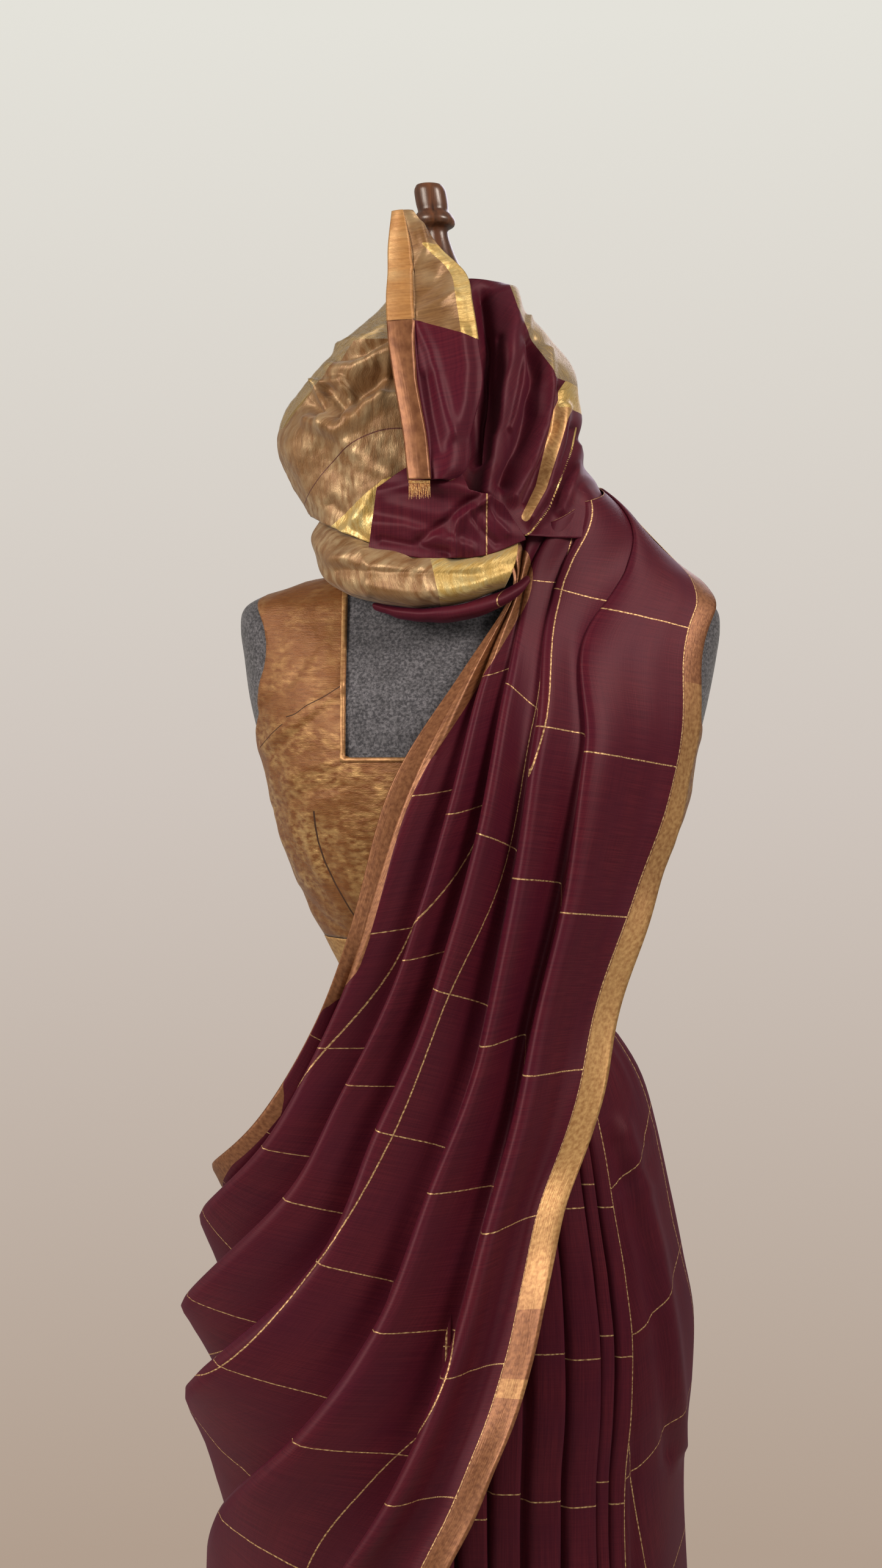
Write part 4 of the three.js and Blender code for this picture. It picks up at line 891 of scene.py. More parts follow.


# Silk tissue: silk warp and gold weft. It has painted glitter along the weft, in dashes drawn about four times
# as coarse as its threads so that they show. It holds fine crinkles, and has painted highlights of a paler
# gold in patches, stronger in some bands across the cloth than in others.
def tissue(name, low, high, wear_and_glint, glint_stops, crinkle_mm, metallic, roughness, threads, weft_up=False):
    """Tissue whose ground goes from low to high, with painted highlights of the wear_and_glint colour where
    glint_stops puts them.

    glint_stops says how strong the painted highlights are, as (part of the way up the first GLINT_SPAN_M of
    cloth, amount), threads draws the dark check threads, and weft_up turns the weft to run up the cloth.
    """
    material, tree, out = new_material(name)
    along, across = cloth_place(tree)
    way = (across, along) if weft_up else (along, across)
    weft = stretched_noise(tree, *way, 14, 0.8)
    glitter = stretched_noise(tree, *way, 1.8, 0.9)
    crinkle = stretched_noise(tree, *way, crinkle_mm * 1.7, crinkle_mm * 0.7, detail=7.0)
    lustre = stretched_noise(tree, *way, crinkle_mm * 2.2, crinkle_mm * 0.9, detail=8.0)
    cloud = stretched_noise(tree, along, across, 40, 26, detail=3.0)
    up = add_node(tree, "ShaderNodeMath", {"operation": "DIVIDE"}, {0: across, 1: GLINT_SPAN_M})
    glint_amount = add_node(
        tree, "ShaderNodeValToRGB", {}, {0: up.outputs[0]},
        stops=[(part, (bare, bare, bare, 1.0)) for part, bare in glint_stops],
    )
    lit = add_node(
        tree, "ShaderNodeValToRGB", {}, {0: lustre}, stops=shades("#000000", "#ffffff", 0.38, 0.66)
    )
    broad = add_node(
        tree, "ShaderNodeValToRGB", {}, {0: cloud}, stops=shades("#7a7a7a", "#ffffff", 0.42, 0.57)
    )
    glint_patches = add_node(
        tree, "ShaderNodeMath", {"operation": "MULTIPLY"}, {0: lit.outputs[0], 1: broad.outputs[0]}
    )
    painted_glint = add_node(
        tree, "ShaderNodeMath", {"operation": "MULTIPLY"}, {0: glint_patches.outputs[0], 1: glint_amount.outputs[0]}
    ).outputs[0]
    weft_tone = add_node(tree, "ShaderNodeValToRGB", {}, {0: weft}, stops=shades(low, high))
    glitter_tone = add_node(tree, "ShaderNodeValToRGB", {}, {0: glitter}, stops=shades(low, high, 0.3, 0.7))
    ground = add_node(
        tree, "ShaderNodeMix", {"data_type": "RGBA"},
        {0: cloud, 6: weft_tone.outputs[0], 7: glitter_tone.outputs[0]},
    )
    # Painted highlights: a paler gold laid over the ground in the glint patches.
    colour = add_node(
        tree, "ShaderNodeMix", {"data_type": "RGBA"}, {0: painted_glint, 6: ground.outputs[2], 7: linear(wear_and_glint)}
    ).outputs[2]
    if threads:
        lines = thread_lines(tree, across, 0.0)
        colour = add_node(
            tree, "ShaderNodeMix", {"data_type": "RGBA"}, {0: lines, 6: colour, 7: linear("#5a2c22")}
        ).outputs[2]
    grain = add_node(tree, "ShaderNodeMath", {"operation": "ADD"}, {0: weft, 1: glitter})
    crushed = add_node(
        tree, "ShaderNodeMath", {"operation": "MULTIPLY"}, {0: crinkle, 1: glint_amount.outputs[0]}
    )
    relief = add_node(
        tree, "ShaderNodeMath", {"operation": "MULTIPLY_ADD"},
        {0: grain.outputs[0], 1: 0.16, 2: crushed.outputs[0]},
    )
    bump = add_node(
        tree, "ShaderNodeBump", {}, {"Strength": 0.6, "Distance": 0.002, "Height": relief.outputs[0]}
    )
    rough = add_node(
        tree, "ShaderNodeMapRange", {}, {0: painted_glint, 1: 0.0, 2: 1.0, 3: roughness + 0.1, 4: roughness - 0.06}
    )
    metal = add_node(
        tree, "ShaderNodeMapRange", {}, {0: painted_glint, 1: 0.0, 2: 1.0, 3: metallic * 0.6, 4: metallic * 1.5}
    )
    thread_way = add_node(tree, "ShaderNodeTangent", {"direction_type": "UV_MAP", "uv_map": "cloth"})
    shade = add_node(
        tree, "ShaderNodeBsdfPrincipled", {},
        {
            "Base Color": colour, "Normal": bump.outputs[0], "Roughness": rough.outputs[0],
            "Metallic": metal.outputs[0], "Tangent": thread_way.outputs[0], "Anisotropic": 0.55,
            "Sheen Weight": 0.15,
        },
    )
    tree.links.new(shade.outputs[0], out.inputs[0])
    return material


# Painted highlights on the blouse: strongest just under the bust, least at the straps.
BLOUSE_GLINTS = [  # part of the way up, amount: the two ends first
    (0.0, 0.3), (0.9, 0.2), (0.1, 0.3), (0.16, 0.8), (0.25, 0.85), (0.33, 0.55), (0.42, 0.65), (0.56, 0.3),
]
blouse_tissue = tissue(
    "ochre_silk_tissue", "#6b3c12", "#87501d", "#dfb577", BLOUSE_GLINTS, crinkle_mm=5, metallic=0.4,
    roughness=0.42, threads=False,
)
# Painted shade for the seam and the creases, where the tissue turns in and lies in its own shadow: matt and
# dark brown.
seam_shade, tree, out = new_material("painted_shade_in_seams_and_creases")
shade = add_node(tree, "ShaderNodeBsdfPrincipled", {}, {"Base Color": linear("#3f2310"), "Roughness": 0.8})
tree.links.new(shade.outputs[0], out.inputs[0])


def neck_edge(points):
    """How far outside the blouse's neck opening points are, in mm."""
    bottom = np.where(points[..., 1] < 0, NECK_BOTTOM_MM, BACK_NECK_BOTTOM_MM)
    return np.maximum(np.abs(points[..., 0]) - NECK_HALF_WIDTH_MM, bottom - points[..., 2])


def armhole_edge(points):
    """How far outside both armholes points are, in mm."""
    side = np.abs(points[..., 0] - ARMHOLE_MM["centre"])
    depth = points[..., 1] / ARMHOLE_MM["half_depth"]
    height = (points[..., 2] - ARMHOLE_MM["height"]) / ARMHOLE_MM["half_height"]
    oval = (np.hypot(depth, height) - 1) * ARMHOLE_MM["half_depth"]
    scye = np.maximum(ARMHOLE_MM["from_centre"] - side, oval)
    shoulder = np.maximum.reduce([
        ARMHOLE_MM["shoulder"] - side,
        np.abs(points[..., 1]) - ARMHOLE_MM["half_depth"],
        ARMHOLE_MM["foot"] - points[..., 2],
    ])
    return np.minimum(scye, shoulder)


BLOUSE_CREASES = [  # width, rise, line through (x, height)
    (3.0, -1.0, [(-122, 1213), (-121, 1193), (-114, 1173), (-93, 1133)]),
    (5.0, 1.2, [(-131, 1213), (-130, 1193), (-123, 1170), (-102, 1133)]),
    (3.0, -1.0, [(-168, 1258), (-135, 1282), (-97, 1309)]),
    (5.0, 1.3, [(-170, 1268), (-135, 1291), (-99, 1317)]),
    (3.5, -0.9, [(-174, 1296), (-140, 1325), (-110, 1372)]),
    (5.0, 1.1, [(-150, 1240), (-128, 1252), (-104, 1256)]),
    (4.0, -1.0, [(-160, 1218), (-130, 1232), (-100, 1236)]),
    (3.0, -1.0, [(-140, 1150), (-118, 1128), (-96, 1116)]),
    (4.0, 1.0, [(-110, 1300), (-116, 1340), (-112, 1400)]),
]
# A dart seam and two sharp creases, each drawn as a thin strip of painted shade.
BLOUSE_SHADED_SEAMS = [  # half width, measured in x or in height, line through (x, height)
    (
        0.75, 0,
        [(-84, 1120), (-95, 1136), (-107, 1157), (-116, 1176), (-121, 1192), (-123, 1204), (-124, 1216)],
    ),
    (0.45, 2, [(-172, 1268), (-160, 1279), (-150, 1287)]),
    (0.45, 2, [(-148, 1292), (-140, 1294), (-130, 1301), (-115, 1308), (-99, 1318)]),
]


def with_shaded_seams(cloth, zone):
    """The blouse front cut along both edges of each seam, and the narrow faces between them given the zone of
    painted shade.
    """
    for half, across_axis, line in BLOUSE_SHADED_SEAMS:
        x, z = np.array(line, float).T
        at, run = (x, z) if across_axis == 0 else (z, x)

        def beside(points):
            return points[..., across_axis] - np.interp(points[..., 2 - across_axis], run, at)

        cloth = cut(cloth, lambda points: beside(points) - half)
        cloth = cut(cloth, lambda points: beside(points) + half)
        middles = np.array([cloth["points"][list(face)].mean(axis=0) for face in cloth["faces"]])
        up = middles[:, 2 - across_axis]
        within = (up > run[0]) & (up < run[-1]) & (middles[:, 1] < 0)
        on_seam = within & (np.abs(beside(middles)) < half)
        cloth["zone"] = [zone if on else old for on, old in zip(on_seam, cloth["zone"])]
    return cloth


heights = np.linspace(BLOUSE_HEM_MM, BLOUSE_TOP_MM, 130)
turns = np.linspace(-180, 180, 241)
turn, height = np.meshgrid(turns, heights)
blouse_points = on_figure(FORM, turn, height, BLOUSE_LIFT_MM)
rumple = blotches(blouse_points, 34, 41) * 1.1 + blotches(blouse_points, 13, 42) * 0.25
blouse_points = pushed(blouse_points, np.clip(rumple, -0.6, 1.6))
blouse_points = creased(blouse_points, BLOUSE_CREASES)
blouse_uv = np.stack([turn * BLOUSE_M_PER_DEGREE, (height - BLOUSE_HEM_MM) * MM], axis=-1)
blouse_cloth = cut(grid_cloth(blouse_points, blouse_uv), neck_edge, keep=True)
blouse_cloth = cut(blouse_cloth, armhole_edge, keep=True)
for side, name, area_m2 in ((-1, "blouse_front", 0.083), (1, "blouse_back", 0.087)):
    half = cut(blouse_cloth, lambda points: side * points[..., 1] - 0.15, keep=True)
    half = with_shaded_seams(half, zone=1) if side < 0 else half
    panel = cloth_object(name + "_cloth", half, [blouse_tissue, seam_shade], BLOUSE_THICKNESS_MM)
    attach(panel, "root")
    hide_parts(name)

# Piping: a bias strip cut from the zari border, folded over a cord and sewn round the neck.
PIPING_WIDTH_MM = 4
PIPING_HEIGHT_MM = 1.6
PIPING_SEAT_MM = 0.4
PIPING_THICKNESS_MM = 0.3
piping_cloth = cut(grid_cloth(blouse_points, blouse_uv), neck_edge, keep=True)
for step in (1, 2, 3):
    piping_cloth = cut(piping_cloth, lambda points: neck_edge(points) - PIPING_WIDTH_MM * step / 4)
piping_cloth = cut(piping_cloth, lambda points: PIPING_WIDTH_MM - neck_edge(points), keep=True)
piping_cloth = cut(piping_cloth, lambda points: -points[..., 1] - 0.3, keep=True)
piping_cloth = cut(piping_cloth, lambda points: BLOUSE_TOP_MM - 0.1 - points[..., 2], keep=True)
place = piping_cloth["points"]
over = np.clip(neck_edge(place) / PIPING_WIDTH_MM, 0, 1)
outward = place * [1, 1, 0] / np.linalg.norm(place[:, :2], axis=1)[:, None]
round_over = PIPING_HEIGHT_MM * np.sqrt(np.clip(1 - (2 * over - 1) ** 2, 0, 1))
piping_cloth["points"] = place + outward * (PIPING_SEAT_MM + round_over)[:, None]
piping = cloth_object("blouse_neck_piping_cord", piping_cloth, [zari_border], PIPING_THICKNESS_MM)
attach(piping, "root")
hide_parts("blouse_neck_piping")

# The strip of border that shows round the midriff, under the blouse's hem.
UNDER_BAND_MM = (1080, 1111.4)
BAND_M_PER_DEGREE = 0.00166
turn, height = np.meshgrid(np.linspace(0, 360, 180, endpoint=False), np.linspace(*UNDER_BAND_MM, 16))
band_points = on_figure(FORM, turn, height, BLOUSE_LIFT_MM)
band_points = pushed(band_points, np.clip(blotches(band_points, 24, 51) * 0.5, -0.5, 0.7), ring=True)
band_uv = np.stack([turn * BAND_M_PER_DEGREE, (height - UNDER_BAND_MM[0]) * MM], axis=-1)
band = grid_object(
    "blouse_under_band_cloth", band_points, [zari_border], ring=True, uv=band_uv,
    thickness=BLOUSE_THICKNESS_MM,
)
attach(band, "root")
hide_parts("blouse_under_band")

# ---------------------------------------------------------------------------
# The back cowl
# From the shoulder the folded silk opens again, sags across the back in a shallow cowl and climbs up behind
# the neck, its folds lying along it, with the zari border at its lower edge.
# ---------------------------------------------------------------------------
COWL = [  # height, centre, half width, front, back
    (1300, 11, 200, 100, 108), (1340, 11, 209, 100, 107), (1385, 11, 209, 90, 104), (1405, 11, 189, 80, 101),
    (1422, 11, 168, 75, 99), (1444, 11, 146, 75, 97), (1472, 11, 119, 75, 95), (1491, 11, 97, 80, 94),
    (1520, 2, 98, 80, 93), (1570, 0, 92, 80, 90),
]
COWL_EDGES = [  # turn, top, bottom
    (90.1, 1486, 1419), (112, 1500, 1372), (140, 1520, 1328), (170, 1542, 1312), (196, 1554, 1345),
    (212, 1560, 1416),
]
COWL_FOLDS = 4
COWL_FOLD_HEIGHT_MM = 7
COWL_SLACK = 1.9  # how much more cloth its folds hold than their outline is long
turns = np.linspace(COWL_EDGES[0][0], COWL_EDGES[-1][0], 110)
down = np.linspace(0, 1, 90)
edges = read_table(COWL_EDGES, turns)
height = edges[:, None, 0] * (1 - down) + edges[:, None, 1] * down
swell = np.sin(math.pi * np.linspace(0, 1, len(turns)))[:, None]
lean = 0.9 * np.sin(2 * math.pi * down) * swell
fold = 0.5 - 0.5 * np.cos(2 * math.pi * COWL_FOLDS * down[None, :] + lean)
fold = np.clip(fold, 0, 1) ** 0.8
cowl_points = on_figure(COWL, turns[:, None], height, fold * swell * COWL_FOLD_HEIGHT_MM)
cowl_points = pushed(cowl_points, blotches(cowl_points, 45, 61) * 0.6 * swell)
cowl_length = arc_lengths(np.swapaxes(cowl_points, 0, 1)).T
cowl_across = arc_lengths(cowl_points)
cowl_uv = np.stack([-cowl_length, BORDER_M + 0.5 - cowl_across * COWL_SLACK], axis=-1)
middle = cowl_across[len(turns) // 2]
lowest = np.searchsorted(middle, middle[-1] - BORDER_M)
zones = np.zeros((len(turns) - 1, len(down) - 1), int)
zones[:, lowest:] = 1
cowl = grid_object(
    "saree_back_cowl_cloth", cowl_points, [maroon_silk, zari_border], uv=cowl_uv, zones=zones,
    thickness=SILK_THICKNESS_MM,
)
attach(cowl, "root")
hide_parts("saree_back_cowl")

# ---------------------------------------------------------------------------
# The cloth round the neck
# The end piece, gold tissue with a bright zari stripe where it joins the maroon, is wound once round the
# neck. From the front, a roll lies below, a wide puff at the left, loops of maroon at the right and a twisted
# tuck in the middle.
# ---------------------------------------------------------------------------
# The end piece is the same tissue, with painted highlights over more of it: a dull gold with dark check
# threads, its weft run up the roll. The stripe at its join is bright yellow zari, with painted highlights over
# nearly all of it. Its selvedge, folded double, is warmer, with painted highlights spread evenly.
gold_tissue = tissue(
    "gold_tissue_end_piece", "#714a27", "#936b40", "#dbbf95",
    [(0.0, 0.62), (1.0, 0.5), (0.03, 0.5), (0.12, 0.5)], crinkle_mm=8, metallic=0.42, roughness=0.36,
    threads=True, weft_up=True,
)
bright_zari = tissue(
    "bright_zari_stripe", "#a5813c", "#d3b066", "#ecd89c", [(0.0, 0.8), (1.0, 0.8)], crinkle_mm=5,
    metallic=0.5, roughness=0.36, threads=False, weft_up=True,
)
selvedge_tissue = tissue(
    "gold_tissue_selvedge_doubled", "#a06c38", "#c08a50", "#e2bd88", [(0.0, 0.5), (1.0, 0.5)], crinkle_mm=6,
    metallic=0.35, roughness=0.42, threads=False, weft_up=True,
)
ROLL = [  # turn, reach, back, top, bottom
    (-112, 122, 104, 1480, 1432.2), (-86, 130, 106, 1464, 1422.3), (-60, 135, 114, 1444, 1394.7),
    (-38, 134, 108, 1427, 1382), (-14, 128, 101, 1417, 1378), (6, 124, 100, 1420, 1386),
    (22, 119, 99, 1432, 1399), (36, 114, 98, 1443, 1414),
]
ROLL_STRIPE = {"x": -27, "height": 1400, "slant": 0.22}  # the bright stripe's left edge
ROLL_TUCKED = {"x": 39, "height": 1430, "curve": 0.008}  # where it goes in under the drape, curved lower down
NECK_THICKNESS_MM = 0.5
AWAY_MM = -5.0  # keeps a cut off the cloth at the back
WHOLE_MM = 9.0  # and this keeps the cloth there whole


def round_neck(turn, radius, height):
    """Points round the neck's middle, from turn in degrees, radius and height."""
    angle = np.radians(turn)
    return np.stack([radius * np.sin(angle), -radius * np.cos(angle), height], axis=-1)


def gutter(rows, columns, steps, folds, fold_mm):
    """A stretch of cloth rolled into a soft gutter round the neck, open towards it."""
    turns = np.linspace(rows[0][0], rows[-1][0], columns)[:, None]
    reach, back, top, bottom = np.moveaxis(read_table(rows, turns[:, 0]), -1, 0)[:, :, None]
    around = math.pi * np.linspace(0.04, 0.96, steps)[None, :]
    ripple = fold_mm * np.sin(around) * (0.5 - 0.5 * np.cos(2 * folds * around + np.radians(turns * 1.5)))
    radius = back + (reach - back) * np.sin(around) ** 0.8 - ripple
    height = (top + bottom) / 2 + (top - bottom) / 2 * np.cos(around)
    return round_neck(turns, radius, height)


def collar(rows, turns_named, first, last, columns, steps, folds, fold_mm, slant, bottom):
    """A stretch of cloth that stands round the neck, with soft folds that run round it and climb by slant."""
    heights = [row[0] for row in rows]
    high, low = max(heights), min(heights)
    strips = []
    for turn in np.linspace(first, last, columns):
        lower = max(low, bottom(turn)) if bottom else low
        level = high + (lower - high) * np.linspace(0, 1, steps)
        reaches = read_table(rows, level).T
        radius = read_table([(at, *reach) for at, reach in zip(turns_named, reaches)], np.array([turn]))[0]
        phase = (level - low) / (high - low) + slant * (turn - first) / (last - first)
        fade = np.sin(math.pi * np.linspace(0.02, 0.98, steps))
        radius = radius - fold_mm * fade * (0.5 - 0.5 * np.cos(2 * math.pi * folds * phase))
        strips.append(round_neck(turn, radius, level))
    return np.stack(strips, axis=0)


def over_roll(turn):
    """Whether the roll is below a turn."""
    return turn > ROLL[0][0] - 2


def roll_top(turn):
    """The height of the roll's upper edge, or nothing to stand on behind its end."""
    return read_table(ROLL, np.array([turn]))[0, 2] if over_roll(turn) else -1e9


def soft_uv(points, tilt=0.0):
    """A place in the cloth for each point: metres along the grid's two ways, turned by tilt."""
    along = arc_lengths(np.swapaxes(points, 0, 1)).T
    across = arc_lengths(points)
    cosine, sine = math.cos(tilt), math.sin(tilt)
    return np.stack([along * cosine + across * sine, across * cosine - along * sine], axis=-1)


ROLL_CREASES = [  # width, rise, line through (x, height)
    (5.0, 2.5, [(-112, 1418), (-84, 1423), (-40, 1420), (-20, 1416)]),
    (4.0, -2.5, [(-104, 1410), (-70, 1405), (-36, 1404), (4, 1402)]),
    (6.0, 2.0, [(-80, 1396), (-40, 1386), (0, 1390), (24, 1402)]),
    (3.0, -1.6, [(-44, 1418), (-38, 1400), (-30, 1384)]),
    (3.5, 1.6, [(-84, 1420), (-78, 1402), (-80, 1390)]),
    (3.0, -1.4, [(8, 1424), (12, 1408), (14, 1394)]),
]


# Each of these functions is above zero on the stretch of cloth that it names, and zero at its edge.
def roll_shows(points):
    drawn_back = ROLL_TUCKED["curve"] * np.clip(ROLL_TUCKED["height"] - points[..., 2], 0, None) ** 2
    return np.where(points[..., 1] < 0, ROLL_TUCKED["x"] - drawn_back - points[..., 0], WHOLE_MM)


def right_of_stripe(points):
    return points[..., 0] - ROLL_STRIPE["x"] + (points[..., 2] - ROLL_STRIPE["height"]) * ROLL_STRIPE["slant"]


roll_points = gutter(ROLL, columns=180, steps=70, folds=3, fold_mm=2)
roll_points = creased(roll_points, ROLL_CREASES)
roll_points = pushed(roll_points, blotches(roll_points, 26, 71) * 0.8)
roll_cloth = grid_cloth(roll_points, soft_uv(roll_points) - [0, 0.06])
roll_cloth = cut(roll_cloth, roll_shows, keep=True)
roll_cloth = cut(roll_cloth, right_of_stripe, zone=1)
front_roll = cloth_object("neck_front_roll_cloth", roll_cloth, [gold_tissue, bright_zari], NECK_THICKNESS_MM)
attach(front_roll, "root")
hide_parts("neck_front_roll")

# The maroon that hangs out below the roll, and ends at the drape's first pleat.
UNDER_ROLL_HANGS = [  # turn, reach, back, how far it hangs below the roll's lower edge
    (-44, 112, 104, 7), (-24, 119, 103, 11), (-4, 120, 102, 14), (12, 117, 101, 14), (22, 112, 99, 12),
    (28, 106, 96, 8),
]
roll_feet = read_table(ROLL, [row[0] for row in UNDER_ROLL_HANGS])[:, 3]
UNDER_ROLL = [
    (turn, reach, back, foot - 0.5, foot - hangs)
    for (turn, reach, back, hangs), foot in zip(UNDER_ROLL_HANGS, roll_feet)
]
under_points = gutter(UNDER_ROLL, columns=110, steps=30, folds=1, fold_mm=1.5)
under_points = pushed(under_points, blotches(under_points * [1, 1, 2.5], 22, 72) * 0.4)
under = grid_object(
    "neck_under_roll_cloth", under_points, [maroon_silk], uv=soft_uv(under_points) + [0.01, 0.03],
    thickness=NECK_THICKNESS_MM,
)
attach(under, "root")
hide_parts("neck_under_roll")

PUFF_TURNS = [-26, -56, -90, -122, -170]
PUFF = [  # height, then how far out the cloth lies at each of those turns
    (1652, 56, 60, 62, 68, 78), (1628, 78, 78, 80, 88, 94), (1605, 88, 102, 108, 108, 102),
    (1570, 93, 122, 138, 122, 106), (1530, 99, 134, 161, 134, 109), (1490, 104, 130, 146, 130, 112),
    (1455, 108, 122, 126, 122, 118), (1424, 110, 120, 122, 122, 120),
]
PUFF_CREASES = [  # width, rise, line through (x, height)
    (6.0, 8.5, [(-128, 1532), (-105, 1522), (-90, 1530), (-80, 1541), (-66, 1546), (-52, 1547)]),
    (8.0, -11.0, [(-100, 1545), (-90, 1552), (-74, 1562), (-56, 1568)]),
    (5.0, -6.0, [(-128, 1548), (-118, 1538)]),
    (3.5, 6.0, [(-124, 1565), (-116, 1546), (-113, 1527)]),
    (4.0, -5.0, [(-114, 1560), (-107, 1546), (-103, 1534)]),
    (3.5, 5.0, [(-122, 1564), (-101, 1563), (-98, 1550), (-97, 1532)]),
    (6.0, 7.5, [(-110, 1574), (-92, 1572), (-78, 1578), (-60, 1588)]),
    (5.0, -7.0, [(-106, 1587), (-84, 1588), (-66, 1598)]),
    (5.0, 5.0, [(-104, 1598), (-86, 1597), (-66, 1606)]),
    (4.0, 4.0, [(-62, 1582), (-68, 1560), (-70, 1548)]),
    (7.0, 3.0, [(-146, 1516), (-134, 1484), (-120, 1446)]),
    (9.0, -3.5, [(-118, 1508), (-104, 1484), (-98, 1462)]),
    (8.0, 3.5, [(-96, 1512), (-76, 1494), (-64, 1486)]),
    (5.0, 3.0, [(-118, 1448), (-106, 1436), (-90, 1452), (-78, 1470)]),
    (4.0, -3.0, [(-112, 1466), (-96, 1446), (-80, 1432)]),
]
FREE_END = {"flute": 3.5, "flutes": 24, "lean": 90, "foot": 1430, "wave": 6, "waves_per_degree": 0.11}
# Its check threads are level as far left as x, one of them at this height, and sag beyond.
PUFF_STRAIGHT = {"x": -57, "height": 1522, "sag": 0.0085}


def puff_bottom(turn):
    """It stands on the roll, and behind the roll's end it hangs free in a wavy edge."""
    if over_roll(turn):
        return roll_top(turn) + 0.6
    return FREE_END["foot"] + FREE_END["wave"] * math.sin(turn * FREE_END["waves_per_degree"])


puff_points = collar(
    PUFF, PUFF_TURNS, first=-26, last=-170, columns=190, steps=130, folds=4, fold_mm=3.0, slant=0.35,
    bottom=puff_bottom,
)
puff_points = creased(puff_points, PUFF_CREASES)
behind = np.clip((puff_points[..., 1] - 20) / 60, 0, 1)
hanging = np.clip((1640 - puff_points[..., 2]) / 160, 0, 1)
round_end = np.linspace(0, FREE_END["flutes"], puff_points.shape[0])[:, None]
flutes = FREE_END["flute"] * np.sin(round_end + puff_points[..., 2] / FREE_END["lean"])
puff_points = pushed(puff_points, flutes * behind * hanging)
puff_points = pushed(puff_points, blotches(puff_points, 30, 81) * 0.9 + blotches(puff_points, 11, 82) * 0.35)
beyond = np.clip(PUFF_STRAIGHT["x"] - puff_points[..., 0], 0, None)
puff_uv = soft_uv(puff_points)
level = puff_points[..., 2] + PUFF_STRAIGHT["sag"] * beyond**2
puff_uv[..., 1] = (level - PUFF_STRAIGHT["height"]) * MM
puff_cloth = grid_cloth(puff_points, puff_uv)

PUFF_STRIPE = {"x": -124, "height": 1438, "slant": 1.3, "top": 1482}
PUFF_SHEER = {"above": 1598, "x": -140, "height": 1545, "slant": 0.9, "back_slant": 0.8, "from": 1532}


def stripe_on_puff(points):
    edge = PUFF_STRIPE["x"] + PUFF_STRIPE["slant"] * (points[..., 2] - PUFF_STRIPE["height"])
    front = (points[..., 1] < 0) & (points[..., 2] < PUFF_STRIPE["top"])
    return np.where(front, points[..., 0] - edge, AWAY_MM)


def sheer_on_puff(points):
    edge = PUFF_SHEER["x"] + PUFF_SHEER["slant"] * (points[..., 2] - PUFF_SHEER["height"])
    left = edge - points[..., 0] - PUFF_SHEER["back_slant"] * np.clip(points[..., 1], 0, None)
    upper = points[..., 2] > PUFF_SHEER["from"]
    return np.maximum(points[..., 2] - PUFF_SHEER["above"], np.where(upper, left, AWAY_MM))


# Sheer tissue: the selvedge is one open layer, and what is behind it shows between its gold threads.
sheer_tissue, tree, out = new_material("sheer_tissue_selvedge")
along, across = cloth_place(tree)
weft = stretched_noise(tree, along, across, 14, 0.6)
tone = add_node(tree, "ShaderNodeValToRGB", {}, {0: weft}, stops=shades("#9c7a45", "#c9ab72"))
shade = add_node(
    tree, "ShaderNodeBsdfPrincipled", {}, {"Base Color": tone.outputs[0], "Roughness": 0.4, "Metallic": 0.35}
)
through = add_node(tree, "ShaderNodeBsdfTransparent")
open_weave = add_node(tree, "ShaderNodeMapRange", {}, {0: weft, 1: 0.3, 2: 0.7, 3: 0.3, 4: 0.62})
mixed = add_node(
    tree, "ShaderNodeMixShader", {}, {0: open_weave.outputs[0], 1: through.outputs[0], 2: shade.outputs[0]}
)
tree.links.new(mixed.outputs[0], out.inputs[0])

puff_cloth = cut(puff_cloth, stripe_on_puff, zone=1)
puff_cloth = cut(puff_cloth, sheer_on_puff, zone=2)
puff = cloth_object(
    "neck_left_puff_cloth", puff_cloth, [gold_tissue, bright_zari, sheer_tissue], NECK_THICKNESS_MM
)
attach(puff, "root")
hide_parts("neck_left_puff")

LOOP_TURNS = [-7, 6, 45, 66, 90, 125, 155]
LOOPS = [  # height, then how far out it lies at each of those turns, flared under the shoulder's pleats
    (1655, 32, 34, 32, 31, 30, 34, 40), (1634, 40, 46, 48, 47, 46, 50, 54),
    (1610, 48, 56, 66, 69, 72, 68, 66), (1580, 55, 65, 80, 87, 92, 82, 76),
    (1545, 60, 72, 86, 92, 96, 86, 80), (1505, 64, 80, 89, 94, 96, 88, 82),
    (1488, 66, 84, 89.5, 104, 109, 88, 82), (1470, 68, 88, 91, 116, 114, 89, 83),
    (1446, 74, 93, 98, 124, 116, 92, 85), (1437, 76, 94, 101, 126, 118, 93, 86),
]
LOOP_CREASES = [  # width, rise, line through (x, height)
    (8.0, 9.0, [(34, 1646), (38, 1612), (32, 1575), (25, 1535), (18, 1495), (14, 1470)]),
    (6.5, -12.0, [(13, 1640), (15, 1595), (13, 1545), (9, 1500)]),
    (6.0, -12.0, [(52, 1600), (56, 1572), (51, 1538), (40, 1508), (28, 1480)]),
    (3.0, 4.0, [(50, 1622), (47, 1590), (44, 1560), (34, 1524)]),
    (6.0, 7.0, [(64, 1592), (67, 1560), (62, 1528), (50, 1497), (36, 1468)]),
    (4.0, -6.0, [(74, 1560), (70, 1528), (60, 1498), (46, 1466)]),
    (5.0, 5.0, [(80, 1548), (75, 1517), (64, 1478), (50, 1452)]),
    (4.0, -5.0, [(87, 1530), (82, 1500), (68, 1466), (53, 1444)]),
    (4.0, 4.5, [(93, 1520), (88, 1492), (76, 1460)]),
    (3.0, -3.5, [(26, 1600), (24, 1560), (18, 1520)]),
]
BORDER_ON_LOOPS = [(80, 1549), (76, 1540), (70, 1517), (59, 1478), (46, 1452)]
